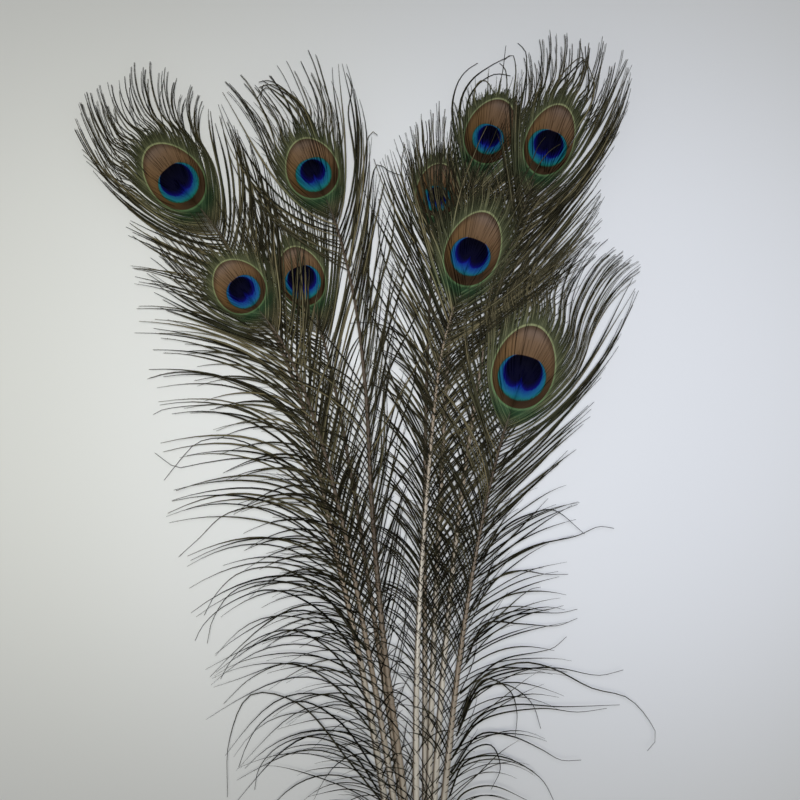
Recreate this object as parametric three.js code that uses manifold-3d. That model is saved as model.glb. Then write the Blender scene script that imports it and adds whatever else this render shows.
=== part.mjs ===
// A bunch of nine peacock eye feathers, lying flat with its shafts crossing, in millimetres, +Z up.
//
// +Y runs along the bunch towards the eyes and +X to the right, seen from above. The origin is on
// the resting surface, under the place where the shafts cross. Each feather is a shaft, the tapering
// rod, and a vane, the thin sheet that its barbs fill, out to the tips of the longest ones.

import * as THREE from 'three';
import { mergeVertices } from 'three/addons/utils/BufferGeometryUtils.js';
import Module from 'manifold-3d';

// Driving dimensions, mm
const PITCH_AT_CROSSING = 4.3; // height that each feather adds to the pile where the shafts cross
const PITCH_AT_TOP = 1.8; // the same at the top of the fan, where the shafts are thin
const PITCH_AT_QUILLS = 3.0; // the same at the cut ends, which have spread apart
const FAN_TOP_Y = 550; // where PITCH_AT_TOP is reached
const QUILL_END_Y = -185; // where PITCH_AT_QUILLS is reached
const VANE_THICKNESS = 0.8;
const SHAFT_TIP_WIDTH = 1.1; // at the eye
const SHAFT_HEIGHT_SHARE = 0.8; // a shaft is a little flatter than it is wide
const QUILL_TAPER_LENGTH = 24; // the quill narrows to its root over this length
const QUILL_TAPER_SHARE = 0.6; // and to this share of its width
const CLEARANCE = 0.3; // between a shaft and the vane on both sides of it

const SHAFT_SIDES = 8;
const SHAFT_STEPS = 24;
const WELD_DISTANCE = 1e-4;

const QUILL_COLOUR = '#bfb39a';
const BARB_COLOUR = '#34352a';

// Each feather from the bottom of the pile to the top. route is the shaft from the cut end to the
// middle of the eye, leftEdge the barb tips from the lowest on the left up to the top of the
// fringe, and rightEdge those from there down to the lowest on the right.
const FEATHERS = [
	{
		name: 'tucked_middle',
		quillWidth: 4.2,
		route: [ [ - 6, - 190 ], [ 0, 0 ], [ 1, 110 ], [ 1, 198 ], [ 1, 286 ], [ 3, 369 ], [ 6, 421 ], [ 8, 439 ] ],
		leftEdge: [ [ - 5, 8 ], [ - 19, 55 ], [ - 28, 99 ], [ - 31, 143 ], [ - 34, 193 ], [ - 35, 248 ],
			[ - 34, 302 ], [ - 31, 358 ], [ - 29, 407 ], [ - 26, 446 ], [ - 24, 463 ], [ - 9, 476 ] ],
		rightEdge: [ [ 5, 493 ], [ 26, 484 ], [ 38, 463 ], [ 42, 435 ], [ 41, 391 ], [ 38, 346 ],
			[ 34, 302 ], [ 29, 253 ], [ 23, 204 ], [ 18, 154 ], [ 14, 105 ], [ 9, 55 ], [ 4, 8 ] ],
	},
	{
		name: 'inner_left',
		quillWidth: 4.4,
		route: [ [ 11, - 186 ], [ - 4, 0 ], [ - 12, 110 ], [ - 25, 198 ], [ - 39, 286 ], [ - 50, 344 ],
			[ - 57, 371 ], [ - 65, 393 ] ],
		leftEdge: [ [ - 15, 8 ], [ - 38, 61 ], [ - 58, 110 ], [ - 70, 154 ], [ - 79, 198 ], [ - 85, 248 ],
			[ - 91, 297 ], [ - 95, 336 ], [ - 102, 369 ], [ - 106, 399 ], [ - 103, 428 ], [ - 89, 448 ] ],
		rightEdge: [ [ - 67, 457 ], [ - 48, 449 ], [ - 39, 430 ], [ - 32, 393 ], [ - 27, 358 ], [ - 21, 319 ],
			[ - 16, 275 ], [ - 12, 226 ], [ - 8, 176 ], [ - 4, 127 ], [ - 2, 77 ], [ - 1, 8 ] ],
	},
	{
		name: 'upper_middle',
		quillWidth: 4.4,
		route: [ [ 0, - 178 ], [ 2, 0 ], [ 3, 110 ], [ 6, 198 ], [ 10, 286 ], [ 16, 380 ], [ 26, 443 ], [ 35, 471 ] ],
		leftEdge: [ [ - 3, 8 ], [ - 13, 55 ], [ - 18, 99 ], [ - 20, 143 ], [ - 20, 193 ], [ - 18, 248 ],
			[ - 15, 302 ], [ - 12, 358 ], [ - 7, 406 ], [ 3, 448 ], [ 13, 476 ], [ 16, 499 ], [ 29, 515 ] ],
		rightEdge: [ [ 53, 526 ], [ 67, 504 ], [ 73, 479 ], [ 73, 446 ], [ 68, 407 ], [ 61, 366 ], [ 52, 319 ],
			[ 43, 270 ], [ 35, 220 ], [ 28, 170 ], [ 21, 121 ], [ 14, 66 ], [ 6, 8 ] ],
	},
	{
		name: 'outer_left',
		quillWidth: 4.7,
		route: [ [ 28, - 176 ], [ - 6, 0 ], [ - 21, 110 ], [ - 35, 190 ], [ - 50, 256 ], [ - 65, 324 ],
			[ - 89, 382 ], [ - 118, 430 ], [ - 133, 447 ] ],
		leftEdge: [ [ - 21, 8 ], [ - 58, 66 ], [ - 101, 110 ], [ - 117, 154 ], [ - 124, 198 ], [ - 134, 244 ],
			[ - 143, 287 ], [ - 149, 323 ], [ - 150, 349 ], [ - 158, 382 ], [ - 162, 403 ], [ - 163, 435 ],
			[ - 175, 448 ], [ - 186, 468 ], [ - 192, 484 ], [ - 178, 501 ], [ - 158, 514 ] ],
		rightEdge: [ [ - 131, 507 ], [ - 107, 483 ], [ - 89, 464 ], [ - 75, 437 ], [ - 64, 410 ], [ - 53, 382 ],
			[ - 43, 349 ], [ - 34, 314 ], [ - 27, 275 ], [ - 21, 231 ], [ - 16, 182 ], [ - 12, 132 ],
			[ - 8, 77 ], [ - 2, 8 ] ],
	},
	{
		name: 'upper_right',
		quillWidth: 4.4,
		route: [ [ - 13, - 182 ], [ 1, 0 ], [ 6, 110 ], [ 13, 204 ], [ 23, 292 ], [ 37, 374 ], [ 57, 440 ], [ 67, 466 ] ],
		leftEdge: [ [ - 3, 8 ], [ - 7, 55 ], [ - 10, 99 ], [ - 12, 143 ], [ - 10, 193 ], [ - 7, 248 ],
			[ - 3, 302 ], [ 6, 358 ], [ 16, 410 ], [ 28, 457 ], [ 40, 492 ], [ 53, 520 ], [ 64, 533 ] ],
		rightEdge: [ [ 82, 529 ], [ 105, 526 ], [ 114, 513 ], [ 107, 481 ], [ 101, 452 ], [ 96, 422 ],
			[ 85, 385 ], [ 73, 346 ], [ 61, 308 ], [ 50, 264 ], [ 40, 220 ], [ 32, 170 ], [ 24, 121 ],
			[ 16, 66 ], [ 6, 8 ] ],
	},
	{
		name: 'lower_left',
		quillWidth: 4.4,
		route: [ [ 22, - 168 ], [ - 4, 0 ], [ - 16, 110 ], [ - 31, 198 ], [ - 45, 267 ], [ - 61, 324 ],
			[ - 78, 363 ], [ - 97, 388 ] ],
		leftEdge: [ [ - 19, 8 ], [ - 43, 61 ], [ - 68, 110 ], [ - 83, 154 ], [ - 92, 198 ], [ - 102, 248 ],
			[ - 109, 292 ], [ - 119, 327 ], [ - 134, 359 ], [ - 146, 382 ], [ - 155, 406 ], [ - 145, 419 ],
			[ - 125, 430 ] ],
		rightEdge: [ [ - 101, 442 ], [ - 83, 433 ], [ - 70, 414 ], [ - 59, 391 ], [ - 48, 360 ], [ - 39, 330 ],
			[ - 31, 292 ], [ - 25, 248 ], [ - 19, 198 ], [ - 14, 148 ], [ - 9, 105 ], [ - 5, 61 ], [ 0, 8 ] ],
	},
	{
		name: 'upper_left',
		quillWidth: 4.6,
		route: [ [ 16, - 184 ], [ - 2, 0 ], [ - 10, 110 ], [ - 21, 193 ], [ - 28, 272 ], [ - 31, 330 ],
			[ - 37, 382 ], [ - 49, 430 ], [ - 59, 452 ] ],
		leftEdge: [ [ - 17, 8 ], [ - 39, 61 ], [ - 58, 110 ], [ - 71, 154 ], [ - 80, 198 ], [ - 85, 242 ],
			[ - 90, 292 ], [ - 93, 341 ], [ - 96, 385 ], [ - 102, 426 ], [ - 108, 458 ], [ - 116, 488 ],
			[ - 103, 504 ], [ - 74, 514 ] ],
		rightEdge: [ [ - 43, 516 ], [ - 37, 490 ], [ - 28, 476 ], [ - 24, 454 ], [ - 20, 418 ], [ - 17, 380 ],
			[ - 13, 341 ], [ - 9, 302 ], [ - 6, 258 ], [ - 3, 209 ], [ 1, 160 ], [ 3, 110 ], [ 4, 61 ], [ 3, 8 ] ],
	},
	{
		name: 'centre',
		quillWidth: 4.6,
		route: [ [ 5, - 172 ], [ - 2, 0 ], [ - 4, 110 ], [ - 3, 198 ], [ 3, 292 ], [ 10, 355 ], [ 18, 385 ], [ 25, 406 ] ],
		leftEdge: [ [ - 9, 8 ], [ - 23, 61 ], [ - 31, 110 ], [ - 36, 154 ], [ - 37, 204 ], [ - 36, 253 ],
			[ - 35, 297 ], [ - 30, 341 ], [ - 26, 380 ], [ - 22, 421 ], [ - 14, 450 ], [ 3, 472 ] ],
		rightEdge: [ [ 26, 483 ], [ 53, 483 ], [ 80, 470 ], [ 99, 446 ], [ 95, 422 ], [ 82, 399 ], [ 71, 369 ],
			[ 60, 330 ], [ 50, 292 ], [ 42, 248 ], [ 35, 198 ], [ 27, 148 ], [ 16, 99 ], [ 6, 55 ], [ 3, 8 ] ],
	},
	{
		name: 'lower_right',
		quillWidth: 4.8,
		route: [ [ - 20, - 188 ], [ 2, 0 ], [ 11, 110 ], [ 21, 198 ], [ 32, 263 ], [ 42, 305 ], [ 53, 340 ] ],
		leftEdge: [ [ - 2, 8 ], [ - 5, 55 ], [ - 8, 99 ], [ - 10, 143 ], [ - 10, 193 ], [ - 8, 242 ],
			[ - 3, 286 ], [ 3, 330 ], [ 9, 363 ], [ 18, 388 ], [ 31, 406 ], [ 53, 416 ] ],
		rightEdge: [ [ 82, 419 ], [ 104, 415 ], [ 120, 400 ], [ 117, 378 ], [ 102, 351 ], [ 87, 322 ],
			[ 80, 294 ], [ 85, 261 ], [ 76, 234 ], [ 81, 206 ], [ 85, 170 ], [ 80, 138 ], [ 64, 105 ],
			[ 37, 61 ], [ 9, 8 ] ],
	},
];

const wasm = await Module();
wasm.setup();

// The height that each feather adds to the pile, at y. Above the crossing it shrinks evenly, so
// that each vane lies in one plane; below it the bare quills come down together in a gentle bend.
function pitchAt( y ) {

	if ( y >= 0 ) return PITCH_AT_CROSSING + ( PITCH_AT_TOP - PITCH_AT_CROSSING ) * y / FAN_TOP_Y;
	return PITCH_AT_CROSSING + ( PITCH_AT_QUILLS - PITCH_AT_CROSSING ) * ( y / QUILL_END_Y ) ** 2;

}

// The shaft's centre line in plan, from the cut end to the eye
function shaftRoute( feather ) {

	const points = feather.route.map( ( [ x, y ] ) => new THREE.Vector3( x, y, 0 ) );
	return new THREE.CatmullRomCurve3( points, false, 'centripetal' );

}

// Widest where the shafts cross, thin at the eye, and a little narrower at the root
function shaftWidthAt( feather, y, fromRoot ) {

	const eyeY = feather.route.at( - 1 )[ 1 ];
	const rise = THREE.MathUtils.clamp( y / eyeY, 0, 1 );
	const grown = THREE.MathUtils.lerp( feather.quillWidth, SHAFT_TIP_WIDTH, rise );
	const root = THREE.MathUtils.smoothstep( fromRoot, - QUILL_TAPER_LENGTH, QUILL_TAPER_LENGTH );
	return grown * THREE.MathUtils.lerp( QUILL_TAPER_SHARE, 1, 2 * root - 1 );

}

// Bends a unit column, which stands along its own Y, to a feather's route. extra widens it, and
// reach carries it past both of the shaft's flat sides, above and below, and past its end.
function bentToRoute( column, feather, level, extra = 0, reach = 0 ) {

	const route = shaftRoute( feather );
	const length = route.getLength();
	const position = column.attributes.position;
	const unit = new THREE.Vector3();

	for ( let i = 0; i < position.count; i ++ ) {

		unit.fromBufferAttribute( position, i );
		const along = THREE.MathUtils.clamp( unit.y + 0.5, 0, 1 );
		const point = route.getPointAt( along );
		const tangent = route.getTangentAt( along );
		const width = shaftWidthAt( feather, point.y, along * length );
		const height = width * SHAFT_HEIGHT_SHARE;
		const across = unit.x * ( width + 2 * extra );
		const past = along === 1 ? extra : 0;
		position.setXYZ(
			i,
			point.x + across * tangent.y + past * tangent.x,
			point.y - across * tangent.x + past * tangent.y,
			level * pitchAt( point.y ) + ( unit.z + 0.5 ) * height + 2 * unit.z * reach
		);

	}

	return column;

}

// A rod with flat sides above, below, left and right
function shaftGeometry( feather, level ) {

	const cornerRadius = 0.5 / Math.cos( Math.PI / SHAFT_SIDES );
	const column = new THREE.CylinderGeometry( cornerRadius, cornerRadius, 1, SHAFT_SIDES, SHAFT_STEPS );
	column.rotateY( Math.PI / SHAFT_SIDES );
	return bentToRoute( column, feather, level );

}

// The room that a vane leaves for its shaft
function slotGeometry( feather, level ) {

	const column = new THREE.BoxGeometry( 1, 1, 1, 1, SHAFT_STEPS, 1 );
	return bentToRoute( column, feather, level, CLEARANCE, 2 * VANE_THICKNESS );

}

// The sheet that the barbs fill, lying in its feather's plane of the pile
function sheetGeometry( feather, level ) {

	const outline = [ ...feather.leftEdge, ...feather.rightEdge ].map( ( [ x, y ] ) => new THREE.Vector2( x, y ) );
	const sheet = new THREE.ExtrudeGeometry( new THREE.Shape( outline ), { depth: VANE_THICKNESS, bevelEnabled: false } );
	const position = sheet.attributes.position;

	for ( let i = 0; i < position.count; i ++ ) {

		position.setZ( i, position.getZ( i ) + level * pitchAt( position.getY( i ) ) );

	}

	return sheet;

}

function welded( geometry ) {

	geometry.deleteAttribute( 'normal' );
	geometry.deleteAttribute( 'uv' );
	return mergeVertices( geometry, WELD_DISTANCE );

}

function toSolid( geometry ) {

	const merged = welded( geometry );
	return new wasm.Manifold( new wasm.Mesh( {
		numProp: 3,
		vertProperties: new Float32Array( merged.attributes.position.array ),
		triVerts: new Uint32Array( merged.index.array ),
	} ) );

}

function toGeometry( solid ) {

	const { vertProperties, triVerts } = solid.getMesh();
	const geometry = new THREE.BufferGeometry();
	geometry.setAttribute( 'position', new THREE.BufferAttribute( vertProperties, 3 ) );
	geometry.setIndex( new THREE.BufferAttribute( triVerts, 1 ) );
	geometry.computeVertexNormals();
	return geometry;

}

// The sheet, open along its shaft and closed above the eye
function vaneGeometry( feather, level ) {

	const sheet = toSolid( sheetGeometry( feather, level ) );
	const slot = toSolid( slotGeometry( feather, level ) );
	return toGeometry( sheet.subtract( slot ) );

}

function namedMesh( name, geometry, colour, roughness ) {

	const material = new THREE.MeshStandardMaterial( { color: colour, roughness, metalness: 0 } );
	const mesh = new THREE.Mesh( geometry, material );
	mesh.name = name;
	return mesh;

}

const bunch = new THREE.Group();

FEATHERS.forEach( ( feather, level ) => {

	bunch.add(
		namedMesh( `${ feather.name }_shaft`, shaftGeometry( feather, level ), QUILL_COLOUR, 0.45 ),
		namedMesh( `${ feather.name }_vane`, vaneGeometry( feather, level ), BARB_COLOUR, 0.6 )
	);

} );

export default bunch;
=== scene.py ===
"""A loose bunch of nine peacock eye feathers, lying flat, seen from straight above.

Every feather is one shaft of keratin and some hundreds of barbs. The barbs are joined meshes of
closed three-sided strands: they leave the shaft where a few guide barbs say, and spread evenly
between those. Plan coordinates are millimetres until a mesh is made, and metres from there on.
"""

import logging
import math
from dataclasses import dataclass
from enum import Enum
from typing import Any, Iterable, Optional, Sequence

import bmesh
import bpy
import numpy as np
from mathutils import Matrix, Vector


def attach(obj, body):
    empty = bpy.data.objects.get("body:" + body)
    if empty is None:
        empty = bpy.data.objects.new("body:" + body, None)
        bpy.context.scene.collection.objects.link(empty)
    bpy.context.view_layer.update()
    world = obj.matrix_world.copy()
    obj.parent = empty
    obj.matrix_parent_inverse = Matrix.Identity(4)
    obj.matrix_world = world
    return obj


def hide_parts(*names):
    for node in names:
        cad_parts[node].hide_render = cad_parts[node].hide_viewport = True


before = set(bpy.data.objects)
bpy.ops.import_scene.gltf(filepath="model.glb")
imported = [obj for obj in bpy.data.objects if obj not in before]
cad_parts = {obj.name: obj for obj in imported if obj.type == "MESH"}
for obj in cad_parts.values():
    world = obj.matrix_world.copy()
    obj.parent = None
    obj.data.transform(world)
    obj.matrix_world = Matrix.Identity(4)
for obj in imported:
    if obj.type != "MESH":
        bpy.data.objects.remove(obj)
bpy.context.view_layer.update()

LOG = logging.getLogger("feathers")
MM = 0.001

Point = tuple[float, float]
GuideRow = tuple[float, float, float, float]

# ---------------------------------------------------------------------------------------------
# The pile, as the frame has it, in mm
# ---------------------------------------------------------------------------------------------

PITCH_AT_CROSSING = 4.3
PITCH_AT_TOP = 1.8
PITCH_AT_QUILLS = 3.0
FAN_TOP_Y = 550.0
QUILL_END_Y = -185.0
SHAFT_TIP_WIDTH = 1.1
SHAFT_HEIGHT_SHARE = 0.8
QUILL_TAPER_LENGTH = 24.0
QUILL_TAPER_SHARE = 0.6
LOWEST_BARB = 0.3
# Barbs are almost bare of barbules below the first height, and fully dressed above the second
BARE_BELOW_Y = 150.0
DRESSED_ABOVE_Y = 330.0


def pile_pitch(y: np.ndarray) -> np.ndarray:
    """The height that each feather adds to the pile.

    Args:
        y: Places along the bunch, in mm.

    Returns:
        The pitch at each place, in mm.
    """
    above = PITCH_AT_CROSSING + (PITCH_AT_TOP - PITCH_AT_CROSSING) * y / FAN_TOP_Y
    below = PITCH_AT_CROSSING + (PITCH_AT_QUILLS - PITCH_AT_CROSSING) * (y / QUILL_END_Y) ** 2
    return np.where(y >= 0, above, below)


def smoothstep(low: float, high: float, value: np.ndarray) -> np.ndarray:
    """A soft step.

    Args:
        low: Where the step starts.
        high: Where it ends.
        value: Numbers to read it at.

    Returns:
        0 before low, 1 after high, and a smooth rise between.
    """
    t = np.clip((value - low) / (high - low), 0.0, 1.0)
    return t * t * (3 - 2 * t)


def smooth_line(points: Sequence[Point], steps: int) -> np.ndarray:
    """A centripetal Catmull-Rom curve, the same that the frame's shafts follow.

    Args:
        points: The points that the curve passes through.
        steps: Samples on each span.

    Returns:
        The curve's points, one row each.
    """
    own = np.array(points, float)
    ends = 2 * own[0] - own[1], 2 * own[-1] - own[-2]
    p = np.vstack([ends[0], own, ends[1]])
    t = np.linspace(0, 1, steps, endpoint=False)[:, None]
    spans = []
    for i in range(len(own) - 1):
        a, b, c, d = p[i : i + 4]
        before, here, after = (math.sqrt(np.linalg.norm(v)) for v in (b - a, c - b, d - c))
        leave = ((b - a) / before - (c - a) / (before + here) + (c - b) / here) * here
        arrive = ((c - b) / here - (d - b) / (here + after) + (d - c) / after) * here
        spans.append(
            b + leave * t + (3 * (c - b) - 2 * leave - arrive) * t**2
            + (2 * (b - c) + leave + arrive) * t**3
        )
    return np.vstack([*spans, own[-1:]])


def resampled(line: np.ndarray, count: int) -> np.ndarray:
    """A line's points set at even distances.

    Args:
        line: The points of a line.
        count: How many points are wanted.

    Returns:
        That many points along it.
    """
    reach = np.r_[0, np.cumsum(np.linalg.norm(np.diff(line, axis=0), axis=1))]
    at = np.linspace(0, reach[-1], count)
    return np.stack([np.interp(at, reach, axis) for axis in line.T], 1)


# ---------------------------------------------------------------------------------------------
# Finishes
# ---------------------------------------------------------------------------------------------


def linear(hex_colour: str) -> tuple[float, float, float, float]:
    """An sRGB colour as Blender's linear one.

    Args:
        hex_colour: Six hex digits after a #.

    Returns:
        Red, green, blue and an alpha of 1.
    """
    parts = [int(hex_colour[i : i + 2], 16) / 255 for i in (1, 3, 5)]
    lit = [c / 12.92 if c <= 0.04045 else ((c + 0.055) / 1.055) ** 2.4 for c in parts]
    return (*lit, 1.0)


def add_node(
    tree: bpy.types.NodeTree,
    kind: str,
    settings: Optional[dict[str, Any]] = None,
    inputs: Optional[dict[Any, Any]] = None,
    out: Any = 0,
) -> Any:
    """Adds a node with its settings and links.

    Args:
        tree: The node tree.
        kind: The node's type, such as ShaderNodeMath.
        settings: Values for the node's own properties.
        inputs: For each input's name or number, a value or the socket that feeds it.
        out: The name or number of the output that is handed back, or None for the node itself.

    Returns:
        That output socket, or the node.
    """
    node = tree.nodes.new(kind)
    for name, value in (settings or {}).items():
        setattr(node, name, value)
    for name, value in (inputs or {}).items():
        if isinstance(value, bpy.types.NodeSocket):
            tree.links.new(value, node.inputs[name])
        else:
            node.inputs[name].default_value = value
    return node if out is None else node.outputs[out]


def fill_ramp(node: bpy.types.Node, stops: Iterable[tuple[float, str]]) -> Any:
    """Sets a colour ramp's stops.

    Args:
        node: The Color Ramp node.
        stops: Each stop's place from 0 to 1 and its colour.

    Returns:
        The node's colour output.
    """
    ramp = node.color_ramp
    for i, (place, colour) in enumerate(stops):
        stop = ramp.elements[i] if i < 2 else ramp.elements.new(place)
        stop.position = place
        stop.color = linear(colour)
    return node.outputs["Color"]


def new_material(name: str) -> tuple[bpy.types.Material, bpy.types.NodeTree]:
    """An empty node material.

    Args:
        name: The material's name.

    Returns:
        The material and its node tree.
    """
    material = bpy.data.materials.new(name)
    material.use_nodes = True
    material.node_tree.nodes.clear()
    return material, material.node_tree


@dataclass(frozen=True)
class ShaftKeratin:
    """Keratin of a feather's shaft, grown solid round a pale pith.

    A cream ridge between brown flanks, satin smooth, with fine lengthwise growth lines; it turns
    tan and then brown towards the eye. The brown flanks are partly the keratin's own colour where
    barbs attach and partly painted shade on the round sides, deepest on the left.
    """

    name: str = "shaft_keratin_grown_satin"
    cream: str = "#d6d0c0"
    tan: str = "#9a8c78"
    brown: str = "#4a3e31"
    flank: str = "#6a5c4b"
    growth_and_side_shade_line_mm: float = 0.35
    growth_and_side_shade_line_stretch: float = 30.0
    growth_and_side_shade_line_depth_mm: float = 0.05
    growth_and_side_shade_line_shade: float = 0.5
    blotch_mm: float = 2.5
    blotch_shade: float = 0.35
    # How far the flanks go brown: their own colour together with painted side shade
    flank_and_painted_shade: float = 0.9
    roughness: float = 0.5
    specular: float = 0.2

    def material(self) -> bpy.types.Material:
        """Builds the material.

        Returns:
            The finished material.
        """
        material, tree = new_material(self.name)
        grown = add_node(tree, "ShaderNodeAttribute", {"attribute_name": "growth_and_side_shade"}, out="Vector")
        parts = add_node(tree, "ShaderNodeSeparateXYZ", inputs={0: grown}, out=None).outputs
        place = add_node(tree, "ShaderNodeTexCoord", out="Object")
        # Drawn much longer than wide, because growth lines run along the shaft
        stretched = add_node(
            tree, "ShaderNodeMapping",
            inputs={"Vector": place, "Scale": (1, 1 / self.growth_and_side_shade_line_stretch, 1)},
        )
        lines = add_node(
            tree, "ShaderNodeTexNoise",
            inputs={"Vector": stretched, "Scale": 1 / (self.growth_and_side_shade_line_mm * MM), "Detail": 3.0},
        )
        blotches = add_node(
            tree, "ShaderNodeTexNoise",
            inputs={"Vector": stretched, "Scale": 1 / (self.blotch_mm * MM), "Detail": 2.0},
        )
        ramp = add_node(tree, "ShaderNodeValToRGB", inputs={0: parts[0]}, out=None)
        ridge = fill_ramp(ramp, (
            (0.0, self.cream), (0.55, self.cream), (0.72, self.tan), (0.95, self.brown),
        ))
        # Brown flanks where the barbs attach, with painted shade on the shaft's round sides that is
        # deepest on the left
        edge = add_node(
            tree, "ShaderNodeMapRange", {"interpolation_type": "SMOOTHSTEP"},
            {"Value": parts[1], "From Min": 0.45, "From Max": 1.15, "To Max": self.flank_and_painted_shade},
        )
        flanked_and_shaded = add_node(
            tree, "ShaderNodeMix", {"data_type": "RGBA"},
            {0: edge, 6: ridge, 7: linear(self.flank)}, out=2,
        )
        lined = add_node(
            tree, "ShaderNodeMapRange",
            inputs={"Value": lines, "From Min": 0.35, "From Max": 0.75, "To Max": self.growth_and_side_shade_line_shade},
        )
        darker = add_node(
            tree, "ShaderNodeMix", {"data_type": "RGBA", "blend_type": "MULTIPLY"},
            {0: lined, 6: flanked_and_shaded, 7: linear(self.tan)}, out=2,
        )
        blotched = add_node(
            tree, "ShaderNodeMapRange",
            inputs={"Value": blotches, "From Min": 0.5, "From Max": 0.8, "To Max": self.blotch_shade},
        )
        colour = add_node(
            tree, "ShaderNodeMix", {"data_type": "RGBA"},
            {0: blotched, 6: darker, 7: linear(self.flank)}, out=2,
        )
        depth = self.growth_and_side_shade_line_depth_mm * MM
        bump = add_node(
            tree, "ShaderNodeBump",
            inputs={"Height": lines, "Strength": 0.25, "Distance": depth}, out="Normal",
        )
        shader = add_node(
            tree, "ShaderNodeBsdfPrincipled",
            inputs={
                "Base Color": colour, "Roughness": self.roughness, "Specular IOR Level": self.specular,
                "Normal": bump,
            },
        )
        add_node(tree, "ShaderNodeOutputMaterial", inputs={"Surface": shader}, out=None)
        return material


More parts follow.
